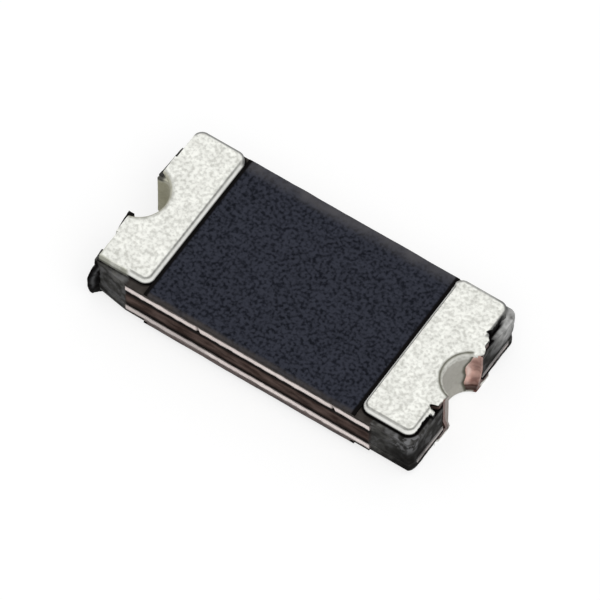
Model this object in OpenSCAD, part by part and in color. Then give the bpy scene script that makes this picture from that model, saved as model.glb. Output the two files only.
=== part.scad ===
// Surface-mount resettable fuse: a conductive polymer sheet between two metal foils,
// sealed in resin and coated, with a plated half-round terminal at each end.
// The chip lies flat on its lower pads, with its length along X and its top towards +Z.

/* [Chip] */
// Length over the two cut ends
chip_length = 3.2; // [2.9:0.05:3.6]
// Width of the middle section
chip_width = 1.6; // [1.4:0.05:1.9]
// Depth at the left end of the tapered trim along the near side
left_trim = 0.055; // [0.02:0.005:0.065]
// Depth of the trim along the near side of the right end zone
right_trim = 0.015; // [0.005:0.005:0.04]
// Distance from the left end to the left shoulder, where the foils stop
left_shoulder = 0.33; // [0.3:0.01:0.42]
// Distance from the right end to the right shoulder, where the foils stop
right_shoulder = 0.41; // [0.32:0.01:0.46]
// Corner radius of the laminate
corner_radius = 0.09; // [0.06:0.01:0.12]

/* [Layers] */
// Thickness of the conductive polymer core
core_thickness = 0.23; // [0.15:0.01:0.4]
// Thickness of each electrode foil
foil_thickness = 0.07; // [0.03:0.005:0.1]
// Thickness of the resin over each foil
insulation_thickness = 0.025; // [0.015:0.005:0.05]
// Thickness of the coat between the pads
mask_thickness = 0.02; // [0.01:0.005:0.04]

/* [Electrodes] */
// Distance from the chip's side to the foil's tongue
tongue_margin = 0.1; // [0.08:0.005:0.2]
// Distance from the left end to the first nick in the upper foil's near edge
first_nick = 1.07; // [0.8:0.01:1.3]
// Distance from the left end to the second nick
second_nick = 2.43; // [2:0.01:2.6]
// Radius of the nicks
nick_radius = 0.018; // [0.01:0.002:0.03]

/* [Notches] */
// Radius of the finished half-round notches
notch_radius = 0.26; // [0.2:0.01:0.3]
// Distance of each notch's centre beyond the cut end
notch_offset = 0.065; // [0.03:0.005:0.1]
// Height of the foot, where the plating thickens towards the lower face
foot_height = 0.25; // [0.1:0.01:0.35]
// Amount by which the foot narrows the notches' radius
foot_growth = 0.06; // [0.01:0.005:0.08]

/* [Terminals] */
// Distance from the left end to the inner edge of the left pads
left_pad_reach = 0.52; // [0.45:0.01:0.7]
// Distance from the right end to the inner edge of the right pads
right_pad_reach = 0.56; // [0.45:0.01:0.7]
// Distance from the near side to the pads
pad_near_margin = 0.075; // [0.07:0.005:0.1]
// Distance from the far side to the pads
pad_far_margin = 0.015; // [0.01:0.005:0.05]
// Corner radius of the pads
pad_corner_radius = 0.09; // [0.07:0.01:0.15]
// Distance from the left end to the outer edge of the left pads
left_pad_margin = 0.01; // [0.005:0.005:0.06]
// Distance from the right end to the outer edge of the right pads
right_pad_margin = 0.035; // [0.02:0.005:0.06]
// Width of the land round the notch, outside the drilled wall
collar_width = 0.145; // [0.1:0.005:0.18]
// Radius of the tears where the right collar leaves the pad's edge
tear_radius = 0.025; // [0.01:0.005:0.04]
// Thickness of the copper in the pads
pad_copper = 0.06; // [0.03:0.005:0.08]
// Thickness of the copper in the notch walls
barrel_copper = 0.03; // [0.02:0.005:0.05]
// Thickness of the tin over the copper
tin_thickness = 0.02; // [0.01:0.005:0.03]
// Length of bare copper at the far jamb of the right notch
bare_length = 0.09; // [0.04:0.01:0.12]

/* [Break-off stub] */
// Reach of the stub out from the near left corner
stub_reach = 0.1; // [0.06:0.01:0.14]
// Thickness of the stub
stub_thickness = 0.05; // [0.03:0.005:0.07]
// Angle between the stub and the chip's length
stub_angle = 53; // [40:1:65]

/* [Burrs] */
// Distance from the left notch's axis to the middle of the near burr
near_burr = 0.31; // [0.28:0.01:0.5]
// Length of the near burr along the left end
near_burr_length = 0.2; // [0.1:0.01:0.25]
// Distance from the left notch's axis to the middle of the far burr
far_burr = 0.39; // [0.3:0.01:0.5]
// Length of the far burr
far_burr_length = 0.33; // [0.1:0.01:0.4]
// Reach of the burrs past the left end
burr_reach = 0.03; // [0.01:0.005:0.04]

/* [Hidden] */
$fn = 64;

left = -1;
right = 1;
near = -1;
far = 1;

// Plan sizes
end_x = chip_length / 2;
near_y = -chip_width / 2;
far_y = chip_width / 2;
foil_left_x = left_shoulder - end_x;
foil_right_x = end_x - right_shoulder;
tongue_width = chip_width - 2 * tongue_margin;
pad_width = chip_width - pad_near_margin - pad_far_margin;
pad_shift = (pad_near_margin - pad_far_margin) / 2;
left_pad_x = end_x - left_pad_reach;
right_pad_x = end_x - right_pad_reach;
notch_x = end_x + notch_offset;
copper_bore = notch_radius + tin_thickness;
drill_radius = copper_bore + barrel_copper;
collar_radius = drill_radius + collar_width;
// Length by which cutting shapes stand clear of what they cut
overcut = 0.1;

// Heights from the board up
pad_thickness = pad_copper + tin_thickness;
lower_insulation_z = pad_thickness;
lower_foil_z = lower_insulation_z + insulation_thickness;
core_z = lower_foil_z + foil_thickness;
upper_foil_z = core_z + core_thickness;
upper_insulation_z = upper_foil_z + foil_thickness;
upper_pad_z = upper_insulation_z + insulation_thickness;
chip_height = upper_pad_z + pad_thickness;

// Distance from an end to the outer edge of its pads
function pad_margin(end) = end == left ? left_pad_margin : right_pad_margin;

// Rectangle between two X positions, centred on Y
module strip(x_from, x_to, width) {
    translate([x_from, -width / 2]) square([x_to - x_from, width]);
}

// The same with round corners
module round_strip(x_from, x_to, width, radius) {
    strip(x_from + radius, x_to - radius, width);
    strip(x_from, x_to, width - 2 * radius);
    for (x = [x_from + radius, x_to - radius], side = [near, far])
        translate([x, side * (width / 2 - radius)]) circle(radius);
}

// Circle on the axis of one end's notch
module notch_circle(end, radius) {
    translate([end * notch_x, 0]) circle(radius);
}

// Stub left at the near left corner where the chip broke from its panel
module stub_plan() {
    root_y = near_y + left_trim + stub_thickness / 2;
    translate([stub_thickness / 2 - end_x, root_y]) rotate(stub_angle) {
        strip(-stub_reach, stub_thickness, stub_thickness);
        translate([-stub_reach, 0]) circle(stub_thickness / 2);
    }
}

// Plan of the laminate: round corners, trimmed along the near side, drilled at both ends
module laminate_plan() {
    difference() {
        intersection() {
            round_strip(-end_x, end_x, chip_width, corner_radius);
            polygon([
                [-end_x, near_y + left_trim],
                [foil_left_x, near_y],
                [foil_right_x, near_y],
                [foil_right_x, near_y + right_trim],
                [end_x, near_y + right_trim],
                [end_x, far_y],
                [-end_x, far_y]
            ]);
        }
        for (end = [left, right]) notch_circle(end, drill_radius);
    }
}

// One layer of the laminate, with or without the stub
module laminate_layer(z, thickness, stub) {
    translate([0, 0, z]) {
        linear_extrude(thickness) laminate_plan();
        if (stub) linear_extrude(thickness) stub_plan();
    }
}

// Plan of a foil whose tongue runs to one end's notch
module foil_plan(end) {
    difference() {
        union() {
            strip(foil_left_x, foil_right_x, chip_width);
            if (end == left) strip(-end_x, foil_left_x, tongue_width);
            if (end == right) strip(foil_right_x, end_x, tongue_width);
        }
        notch_circle(end, drill_radius);
    }
}

// Sliver of resin drawn up along the left end by the cut
module end_burr(side, distance, length) {
    burr_height = chip_height - tin_thickness - upper_foil_z;
    translate([0, 0, upper_foil_z])
        linear_extrude(burr_height) polygon([
            [-end_x, side * (distance - length / 2)],
            [-end_x - burr_reach, side * (distance - length / 4)],
            [-end_x - burr_reach / 2, side * (distance + length / 2)],
            [-end_x, side * (distance + length / 2)]
        ]);
}

// Resin plate with feet that fill its foil's level where the foil is missing
module insulation_plate(end, stub, plate_z, foil_z) {
    laminate_layer(plate_z, insulation_thickness, stub);
    difference() {
        laminate_layer(foil_z, foil_thickness, stub);
        translate([0, 0, foil_z - overcut])
            linear_extrude(foil_thickness + 2 * overcut) foil_plan(end);
    }
}

// Plan of a pad on one side of the notch, shrunk by inset
// The near left corner is sharp, because the cut there went through the pad
module land_half(end, side, inset) {
    radius = pad_corner_radius - inset;
    inner_x = (end == left ? left_pad_x : right_pad_x) + inset;
    outer_x = end_x - pad_margin(end) - inset;
    cut_off = end == left && side == near ? radius : 0;
    limits = [end * inner_x, end * (outer_x + cut_off)];
    intersection() {
        translate([0, pad_shift])
            round_strip(min(limits), max(limits), pad_width - 2 * inset, radius);
        translate([-outer_x, side == near ? near_y : -drill_radius])
            square([2 * outer_x, chip_width / 2 + drill_radius]);
    }
}

// Plan of a pad and its collar round the notch, not yet bored
module land_plan(end, inset) {
    intersection() {
        union() {
            for (side = [near, far]) land_half(end, side, inset);
            notch_circle(end, collar_radius - inset);
        }
        strip(-end_x, end_x, chip_width);
    }
}

// Round bore of one end's notch, narrowed by the foot towards the lower face
module notch_bore(end, radius) {
    translate([end * notch_x, 0, 0])
        rotate_extrude() polygon([
            [0, -overcut],
            [radius - foot_growth, -overcut],
            [radius - foot_growth, 0],
            [radius, foot_height],
            [radius, chip_height + overcut],
            [0, chip_height + overcut]
        ]);
}

// Both pads of a terminal at one thickness, joined by the wall of its notch
module terminal_shell(end, inset, bore, low_z, high_z) {
    land_height = pad_thickness - inset;
    difference() {
        union() {
            for (z = [low_z, high_z - land_height])
                translate([0, 0, z]) linear_extrude(land_height) land_plan(end, inset);
            translate([0, 0, low_z])
                linear_extrude(high_z - low_z) intersection() {
                    notch_circle(end, drill_radius);
                    strip(-end_x, end_x, chip_width);
                }
        }
        notch_bore(end, bore);
        if (end == right) collar_tears();
    }
}

// Round tears at the two corners between the right collar and its pads
module collar_tears() {
    tear_x = end_x - pad_margin(right);
    tear_y = sqrt(pow(collar_radius, 2) - pow(notch_x - tear_x, 2));
    for (side = [near, far])
        translate([tear_x, side * tear_y, -overcut])
            cylinder(r = tear_radius, h = chip_height + 2 * overcut);
}

// Copper of one terminal, covered by the tin on its faces
module copper_plating(end) {
    terminal_shell(end, tin_thickness, copper_bore, tin_thickness, chip_height - tin_thickness);
}

// Tin of one terminal, with the copper's room taken out
module tin_coat(end) {
    difference() {
        terminal_shell(end, 0, notch_radius, 0, chip_height);
        copper_plating(end);
    }
}

module ptc_core() {
    color("#463936") laminate_layer(core_z, core_thickness, true);
}

module upper_electrode() {
    color("#e1d7d2")
        translate([0, 0, upper_foil_z]) linear_extrude(foil_thickness) difference() {
            foil_plan(left);
            for (nick = [first_nick, second_nick])
                translate([nick - end_x, near * chip_width / 2]) circle(nick_radius);
        }
}

module lower_electrode() {
    color("#cabbb7")
        translate([0, 0, lower_foil_z]) linear_extrude(foil_thickness) foil_plan(right);
}

module upper_insulation() {
    color("#3c3c3c") {
        insulation_plate(left, false, upper_insulation_z, upper_foil_z);
        end_burr(near, near_burr, near_burr_length);
        end_burr(far, far_burr, far_burr_length);
    }
}

module lower_insulation() {
    color("#3c3c3c") insulation_plate(right, true, lower_insulation_z, lower_foil_z);
}

module upper_mask() {
    color("#2b2e39")
        translate([0, 0, upper_pad_z])
            linear_extrude(mask_thickness) strip(-left_pad_x, right_pad_x, chip_width);
}

module lower_mask() {
    color("#2b2e39")
        translate([0, 0, lower_insulation_z - mask_thickness])
            linear_extrude(mask_thickness) strip(-left_pad_x, right_pad_x, chip_width);
}

module left_copper_plating() {
    color("#b87a66") copper_plating(left);
}

module right_copper_plating() {
    color("#b87a66") copper_plating(right);
}

module left_tin_coat() {
    color("#ebece4") tin_coat(left);
}

module right_tin_coat() {
    bare_height = upper_pad_z - lower_insulation_z;
    color("#ebece4") difference() {
        tin_coat(right);
        translate([end_x - bare_length, 0, lower_insulation_z])
            cube([bare_length + overcut, drill_radius, bare_height]);
    }
}

ptc_core();
upper_electrode();
lower_electrode();
upper_insulation();
lower_insulation();
upper_mask();
lower_mask();
left_copper_plating();
right_copper_plating();
left_tin_coat();
right_tin_coat();
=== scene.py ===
"""Dress the surface-mount resettable fuse for its portrait.

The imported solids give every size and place. Finer surfaces stand in for the layers and the
plated terminals, each with its own finish, and a floor, a lamp and a camera complete the view.
"""

import itertools
import logging
import math
from dataclasses import dataclass, field
from enum import Enum, IntEnum
from typing import Any, Callable, ClassVar, Sequence

import bmesh
import bpy
import numpy as np
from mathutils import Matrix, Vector


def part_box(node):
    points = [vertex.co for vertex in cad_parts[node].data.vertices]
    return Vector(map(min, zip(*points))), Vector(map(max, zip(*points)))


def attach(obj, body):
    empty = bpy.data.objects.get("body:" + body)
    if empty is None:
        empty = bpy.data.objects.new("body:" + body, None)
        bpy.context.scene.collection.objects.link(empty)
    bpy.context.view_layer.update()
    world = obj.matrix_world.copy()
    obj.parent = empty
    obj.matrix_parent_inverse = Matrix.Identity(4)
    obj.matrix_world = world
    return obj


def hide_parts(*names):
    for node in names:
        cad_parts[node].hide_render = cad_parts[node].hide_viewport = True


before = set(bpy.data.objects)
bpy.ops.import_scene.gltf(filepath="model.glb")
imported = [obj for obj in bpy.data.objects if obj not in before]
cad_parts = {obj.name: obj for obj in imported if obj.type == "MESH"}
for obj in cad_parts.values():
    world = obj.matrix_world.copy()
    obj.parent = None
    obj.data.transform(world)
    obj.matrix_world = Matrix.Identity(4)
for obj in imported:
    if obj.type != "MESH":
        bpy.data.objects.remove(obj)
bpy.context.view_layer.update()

LOG = logging.getLogger("resettable_fuse")
MM = 1e-3
PER_MM = 1 / MM
TINT = "tint"
SHARP_ANGLE = math.radians(38)
TINY = 1e-9
STEP_DIGITS = 9

Array = np.ndarray
Rgb = tuple[float, float, float]
Span = tuple[float, float]
Push = Callable[[Array], Array]


class Labelled(Enum):
    """An Enum whose members also give the word for them in the pieces' names."""

    @property
    def label(self) -> str:
        """The member's name in small letters."""
        return self.name.lower()


class End(Labelled):
    """The two ends of the chip, with the sign of their X."""

    LEFT = -1
    RIGHT = 1


class Face(Labelled):
    """The two broad faces of the chip, with the sign of their Z."""

    LOWER = -1
    UPPER = 1


class Corner(Enum):
    """The four corners of the chip in plan, as the signs of X and Y."""

    NEAR_LEFT = (-1, -1)
    NEAR_RIGHT = (1, -1)
    FAR_RIGHT = (1, 1)
    FAR_LEFT = (-1, 1)


class Seed(IntEnum):
    """Seeds of the noises, one for each effect."""

    POLYMER = 11
    MOTTLE = 17
    PAINTED_SHEEN = 19
    FOIL = 23
    SPECKS = 29
    BURR = 31
    RESIN = 37
    MASK_EDGE = 41
    MASK_GRAIN = 43
    MASK_BANDS = 47
    TIN_GRAIN = 53
    NOTCH_WALL = 59
    PAD_RIM = 61
    TORN_TIN = 67
    PAD_EDGE = 71
    STUB = 83
    STUB_HIGHLIGHT = 89
    BARE_COPPER = 97


# Noise and tints


AXIS_FACTORS = np.array((73856093, 19349663, 83492791))
SEED_FACTOR = 40503
MIX_FACTORS = (1274126177, 668265263)
SIXTEEN_BITS = 0xFFFF


def hashed(cells: Array, seed: int) -> Array:
    """Mix whole cell numbers and a seed into random values that are the same on each run.

    Args:
        cells: Whole numbers of shape (..., 3).
        seed: Number that picks another set of values.

    Returns:
        Values from -1 to 1 of shape (...).
    """
    mixed = np.bitwise_xor.reduce(cells * AXIS_FACTORS, axis=-1)
    mixed = (mixed + seed * SEED_FACTOR) * MIX_FACTORS[0]
    mixed = (mixed ^ (mixed >> 15)) * MIX_FACTORS[1]
    return 2 * ((mixed >> 9) & SIXTEEN_BITS) / SIXTEEN_BITS - 1


def lattice_noise(points: Array, cell: float, seed: int) -> Array:
    """Blend random values at the eight corners of each lattice cell by smoothstep weights.

    Args:
        points: Positions in metres, of shape (..., 3).
        cell: Side of a lattice cell in metres.
        seed: Number that picks another noise.

    Returns:
        Values from -1 to 1 of shape (...).
    """
    scaled = points / cell
    base = np.floor(scaled).astype(np.int64)
    share = scaled - base
    share = share * share * (3 - 2 * share)
    total = np.zeros(points.shape[:-1])
    for offset in itertools.product((0, 1), repeat=3):
        weights = np.where(np.array(offset) == 1, share, 1 - share)
        total += weights.prod(axis=-1) * hashed(base + np.array(offset), seed)
    return total


def fractal_noise(points: Array, cell: float, seed: int, octaves: int = 3) -> Array:
    """Add lattice noises, each with half the cell and half the weight of the one before.

    Args:
        points: Positions in metres, of shape (..., 3).
        cell: Side of the largest cell in metres.
        seed: Number that picks another noise.
        octaves: How many noises are added.

    Returns:
        Values from about -1 to 1 of shape (...).
    """
    weights = 0.5 ** np.arange(octaves)
    layers = [
        weight * lattice_noise(points, cell * weight, seed + index)
        for index, weight in enumerate(weights)
    ]
    return sum(layers) / weights.sum()


def fade(value: Array, start: float, stop: float) -> Array:
    """Rise smoothly from 0 at start to 1 at stop, which may be the smaller of the two.

    Args:
        value: Where to take the rise.
        start: Value at which it is 0.
        stop: Value at which it is 1.

    Returns:
        Smoothstep values of the same shape.
    """
    share = np.clip((value - start) / (stop - start), 0, 1)
    return share * share * (3 - 2 * share)


def bell(value: Array, middle: float, width: float) -> Array:
    """Return a bell curve that is 1 at its middle and falls off over its width."""
    return np.exp(-(((value - middle) / width) ** 2))


@dataclass(frozen=True)
class Patches:
    """A cover that varies in patches: a middle value plus fractal noise times a spread."""

    middle: float
    spread: float
    cell: float
    seed: Seed

    def at(self, points: Array) -> Array:
        """Return the cover at points of shape (..., 3)."""
        return self.middle + self.spread * fractal_noise(points, self.cell, self.seed)


def clear(points: Array) -> Array:
    """Return tints of no strength for points of shape (..., 3)."""
    return np.zeros((*points.shape[:-1], 4))


def paint(tints: Array, colour: Rgb, strength: Array) -> Array:
    """Lay a colour over tints as a coat that covers by its strength.

    Args:
        tints: Colours and strengths of shape (..., 4).
        colour: The coat's colour.
        strength: The coat's cover from 0 to 1, of shape (...).

    Returns:
        The new tints.
    """
    cover = np.clip(strength, 0, 1)[..., None]
    under = tints[..., 3:] * (1 - cover)
    total = cover + under
    mixed = np.array(colour) * cover + tints[..., :3] * under
    return np.concatenate([mixed / np.maximum(total, TINY), total], axis=-1)


# Surfaces


@dataclass
class Shell:
    """A closed surface: points, their tints, four-sided faces and flat many-sided caps."""

    points: Array
    tints: Array
    quads: Array
    caps: list[Array] = field(default_factory=list)

    def moved(self, factors: Sequence[float], shift: Sequence[float] = (0, 0, 0)) -> "Shell":
        """Return the shell with its coordinates multiplied and then shifted."""
        return Shell(self.points * factors + shift, self.tints, self.quads, self.caps)


def placed(x: Array | float, y: Array | float, z: Array | float) -> Array:
    """Stack coordinates, repeated to one shape where they differ, into points (..., 3)."""
    return np.stack(np.broadcast_arrays(x, y, z), axis=-1)


def grid_quads(rows: int, columns: int, closed: bool = False) -> Array:
    """Number the four-sided faces of a grid of points stored row by row.

    Args:
        rows: Points down the grid.
        columns: Points across the grid.
        closed: Whether the last column joins the first.

    Returns:
        Point numbers of shape (faces, 4).
    """
    across = columns if closed else columns - 1
    row, column = np.meshgrid(np.arange(rows - 1), np.arange(across), indexing="ij")
    after = (column + 1) % columns
    start, below = row * columns, (row + 1) * columns
    corners = (start + column, start + after, below + after, below + column)
    return np.stack(corners, axis=-1).reshape(-1, 4)


def slab(front: Array, back: Array, tints: Array | None = None) -> Shell:
    """Close the space between two grids of points with four walls along their borders.

    Args:
        front: Points of shape (rows, columns, 3).
        back: Points of the same shape.
        tints: Tints of both grids' points, of shape (rows, columns, 4), or None.

    Returns:
        The closed shell.
    """
    rows, columns = front.shape[:2]
    count = rows * columns
    numbers = np.arange(count).reshape(rows, columns)
    border = np.concatenate(
        [numbers[0, :-1], numbers[:-1, -1], numbers[-1, :0:-1], numbers[:0:-1, 0]]
    )
    following = np.roll(border, -1)
    walls = np.stack([border, border + count, following + count, following], axis=-1)
    face = grid_quads(rows, columns)
    points = np.concatenate([front.reshape(-1, 3), back.reshape(-1, 3)])
    coats = (clear(front) if tints is None else tints).reshape(-1, 4)
    quads = np.concatenate([face, face[:, ::-1] + count, walls])
    return Shell(points, np.concatenate([coats, coats]), quads)


def subdivided(path: Array, step: float) -> Array:
    """Split each side of a closed path into equal parts no longer than a step.

    Args:
        path: Plan points of shape (n, 2), without a repeated last point.
        step: Longest part in metres.

    Returns:
        Plan points of shape (m, 2) that keep every given point.
    """
    sides = np.roll(path, -1, axis=0) - path
    parts = np.maximum(np.ceil(np.linalg.norm(sides, axis=1) / step), 1).astype(int)
    index = np.repeat(np.arange(len(path)), parts)
    first = np.repeat(np.cumsum(parts) - parts, parts)
    share = (np.arange(parts.sum()) - first) / parts[index]
    return path[index] + sides[index] * share[:, None]


def unit(vectors: Array) -> Array:
    """Return vectors of shape (n, 2) at length 1, leaving out those of no length."""
    return vectors / np.maximum(np.linalg.norm(vectors, axis=1, keepdims=True), TINY)


def outward_normals(path: Array) -> Array:
    """Turn each side of an anticlockwise path by a right angle and average it at the points.

    Args:
        path: Plan points of shape (n, 2).

    Returns:
        Unit vectors of shape (n, 2).
    """
    sides = np.roll(path, -1, axis=0) - path
    normals = unit(np.stack([sides[:, 1], -sides[:, 0]], axis=-1))
    return unit(normals + np.roll(normals, 1, axis=0))


def arc(
    centre: Span, radius: float, start: float, stop: float, step: float = 4.0
) -> Array:
    """Place points on a circle at equal angles.

    Args:
        centre: Plan point of the circle's centre.
        radius: Radius in metres.
        start: First angle from +X in degrees.
        stop: Last angle from +X in degrees.
        step: Largest angle between two points in degrees.

    Returns:
        Plan points of shape (n, 2).
    """
    angles = np.radians(np.linspace(start, stop, int(abs(stop - start) / step) + 2))
    return np.array(centre) + radius * np.stack([np.cos(angles), np.sin(angles)], axis=-1)


def swept_layer(
    path: Array, low: float, high: float, levels: int, push: Push, tint: Push = clear
) -> Shell:
    """Carry a straight upright profile round a closed path and cap it above and below.

    Each point moves outwards from the path by what push gives for its position.

    Args:
        path: Anticlockwise plan points of shape (n, 2).
        low: Height of the lower cap.
        high: Height of the upper cap.
        levels: How many rings of points stand on the wall.
        push: Gives an outward shift in metres for points of shape (..., 3).
        tint: Gives tints for points of shape (..., 3).

    Returns:
        The closed shell.
    """
    heights = np.linspace(low, high, levels)
    points = placed(path[:, 0], path[:, 1], heights[:, None])
    tints = tint(points)
    points[..., :2] += outward_normals(path) * push(points)[..., None]
    ring = np.arange(len(path))
    caps = [ring[::-1], ring + (levels - 1) * len(path)]
    quads = grid_quads(levels, len(path), closed=True)
    return Shell(points.reshape(-1, 3), tints.reshape(-1, 4), quads, caps)


def eased(count: int, even_share: float = 0.4) -> Array:
    """Return steps from 0 to 1, mixed from even ones and ones that crowd towards both ends."""
    even = np.linspace(0, 1, count)
    return even_share * even + (1 - even_share) * (1 - np.cos(math.pi * even)) / 2


def merged(steps: Sequence[Array], low: float, high: float) -> Array:
    """Join steps into one rising row between two limits, without doubles to the nanometre."""
    return np.unique(np.round(np.clip(np.concatenate(steps), low, high), STEP_DIGITS))


def make_piece(name: str, shells: Sequence[Shell]) -> bpy.types.Object:
    """Put closed shells into one mesh object at the origin, with faces pointing outwards.

    Args:
        name: Name of the piece.
        shells: The shells, in the shared frame.

    Returns:
        The object, linked into the scene.
    """
    offsets = np.cumsum([0] + [len(shell.points) for shell in shells])
    points = np.concatenate([shell.points for shell in shells])
    quads = np.concatenate([shell.quads + at for shell, at in zip(shells, offsets)])
    caps = [cap + at for shell, at in zip(shells, offsets) for cap in shell.caps]
    sizes = np.array([4] * len(quads) + [len(cap) for cap in caps])
    corners = np.concatenate([quads.ravel(), *caps])
    mesh = bpy.data.meshes.new(name)
    mesh.vertices.add(len(points))
    mesh.vertices.foreach_set("co", points.astype(np.float32).ravel())
    mesh.loops.add(len(corners))
    mesh.loops.foreach_set("vertex_index", corners.astype(np.int32))
    mesh.polygons.add(len(sizes))
    mesh.polygons.foreach_set("loop_start", (np.cumsum(sizes) - sizes).astype(np.int32))
    mesh.update(calc_edges=True)
    mesh.validate()
    tints = np.concatenate([shell.tints for shell in shells])
    coat = mesh.attributes.new(TINT, "FLOAT_COLOR", "POINT")
    coat.data.foreach_set("color", tints.astype(np.float32).ravel())
    turned = bmesh.new()
    turned.from_mesh(mesh)
    bmesh.ops.recalc_face_normals(turned, faces=turned.faces)
    turned.to_mesh(mesh)
    turned.free()
    mesh.shade_smooth()
    mesh.set_sharp_from_angle(angle=SHARP_ANGLE)
    piece = bpy.data.objects.new(name, mesh)
    bpy.context.scene.collection.objects.link(piece)
    LOG.info("%s: %d points, %d faces", name, len(points), len(sizes))
    return piece


# Finishes

CELL_SHARE = 0.35
GRAIN_RANGE: Span = (0.12, 0.5)
CLOUD_RANGE: Span = (0.3, 0.7)
STREAK_RANGE: Span = (0.3, 0.7)


class NodeSheet:
    """A node tree with short calls that add nodes and join them."""

    def __init__(self, tree: bpy.types.NodeTree) -> None:
        """Keep the tree and empty it."""
        self.tree = tree
        tree.nodes.clear()

    def fill(self, socket: bpy.types.NodeSocket, value: Any) -> None:
        """Join an input to another socket, or set it to a constant."""
        if isinstance(value, bpy.types.NodeSocket):
            self.tree.links.new(value, socket)
        else:
            socket.default_value = value

    def add(self, kind: str, inputs: dict[Any, Any] | None = None, **settings: Any) -> Any:
        """Add a node, set its properties and fill its inputs.

        Args:
            kind: Blender's name of the node's type.
            inputs: Constants or output sockets, by the input's name or number.
            settings: Properties of the node.

        Returns:
            The new node.
        """
        node = self.tree.nodes.new(kind)
        for name, value in settings.items():
            setattr(node, name, value)
        for name, value in (inputs or {}).items():
            self.fill(node.inputs[name], value)
        return node

    def ramp(self, value: Any, low: float, high: float) -> Any:
        """Return a socket that rises smoothly from 0 to 1 as value goes from low to high."""
        inputs = {"Value": value, "From Min": low, "From Max": high}
        node = self.add("ShaderNodeMapRange", inputs, interpolation_type="SMOOTHSTEP")
        return node.outputs["Result"]

    def math(self, operation: str, first: Any, second: Any) -> Any:
        """Return the socket of a sum, product or other operation on two values."""
        node = self.add("ShaderNodeMath", {0: first, 1: second}, operation=operation)
        return node.outputs["Value"]

    def mix(self, share: Any, first: Any, second: Any) -> Any:
        """Return the socket of a mix of two colours."""
        node = self.add("ShaderNodeMix", data_type="RGBA")
        inputs = {socket.name: socket for socket in node.inputs if socket.enabled}
        for name, value in {"Factor": share, "A": first, "B": second}.items():
            self.fill(inputs[name], value)
        return next(socket for socket in node.outputs if socket.enabled)

    def millimetres(self) -> Any:
        """Return the socket of the Object coordinates in millimetres."""
        place = self.add("ShaderNodeTexCoord").outputs["Object"]
        node = self.add("ShaderNodeVectorMath", {0: place, "Scale": PER_MM}, operation="SCALE")
        return node.outputs["Vector"]


class GroupSheet(NodeSheet):
    """A node sheet in a new shader node group whose sockets are all single values."""

    def __init__(self, name: str, inputs: Sequence[str], outputs: Sequence[str]) -> None:
        """Make the group with its named inputs and outputs."""
        super().__init__(bpy.data.node_groups.new(name, "ShaderNodeTree"))
        for label in inputs:
            self.tree.interface.new_socket(label, in_out="INPUT", socket_type="NodeSocketFloat")
        for label in outputs:
            self.tree.interface.new_socket(label, in_out="OUTPUT", socket_type="NodeSocketFloat")
        self.given = self.add("NodeGroupInput").outputs
        self.result = self.add("NodeGroupOutput").inputs


def grain_group() -> bpy.types.NodeTree:
    """Build the grain effect: rounded cells mixed with cloudy noise, on Object coordinates.

    Returns:
        A group with inputs Cells per mm and Clouds per mm and outputs Grain, Clouds and Height.
    """
    sheet = GroupSheet("grain", ("Cells per mm", "Clouds per mm"), ("Grain", "Clouds", "Height"))
    place = sheet.millimetres()
    fine, broad = sheet.given["Cells per mm"], sheet.given["Clouds per mm"]
    cells = sheet.add(
        "ShaderNodeTexVoronoi", {"Vector": place, "Scale": fine}, feature="SMOOTH_F1"
    ).outputs["Distance"]
    noise = sheet.add(
        "ShaderNodeTexNoise", {"Vector": place, "Scale": fine, "Detail": 2.0}
    ).outputs["Fac"]
    clouds = sheet.add(
        "ShaderNodeTexNoise", {"Vector": place, "Scale": broad, "Detail": 3.0}
    ).outputs["Fac"]
    mound = sheet.math("SUBTRACT", noise, sheet.math("MULTIPLY", cells, CELL_SHARE))
    sheet.fill(sheet.result["Grain"], sheet.ramp(mound, *GRAIN_RANGE))
    sheet.fill(sheet.result["Clouds"], sheet.ramp(clouds, *CLOUD_RANGE))
    sheet.fill(sheet.result["Height"], mound)
    return sheet.tree


def streak_group() -> bpy.types.NodeTree:
    """Build the cut-streak effect: noise drawn out along the edge, on Object coordinates.

    Returns:
        A group with inputs Along per mm and Across per mm and outputs Streak and Height.
    """
    sheet = GroupSheet("cut_streaks", ("Along per mm", "Across per mm"), ("Streak", "Height"))
    along, across = sheet.given["Along per mm"], sheet.given["Across per mm"]
    stretch = sheet.add("ShaderNodeCombineXYZ", {"X": along, "Y": along, "Z": across})
    drawn = sheet.add(
        "ShaderNodeVectorMath",
        {0: sheet.millimetres(), 1: stretch.outputs["Vector"]},
        operation="MULTIPLY",
    ).outputs["Vector"]
    noise = sheet.add(
        "ShaderNodeTexNoise", {"Vector": drawn, "Scale": 1.0, "Detail": 4.0}
    ).outputs["Fac"]
    sheet.fill(sheet.result["Streak"], sheet.ramp(noise, *STREAK_RANGE))
    sheet.fill(sheet.result["Height"], noise)
    return sheet.tree


def opaque(colour: Rgb) -> tuple[float, float, float, float]:
    """Return a colour with full alpha, as colour sockets take it."""
    return (*colour, 1.0)


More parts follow.
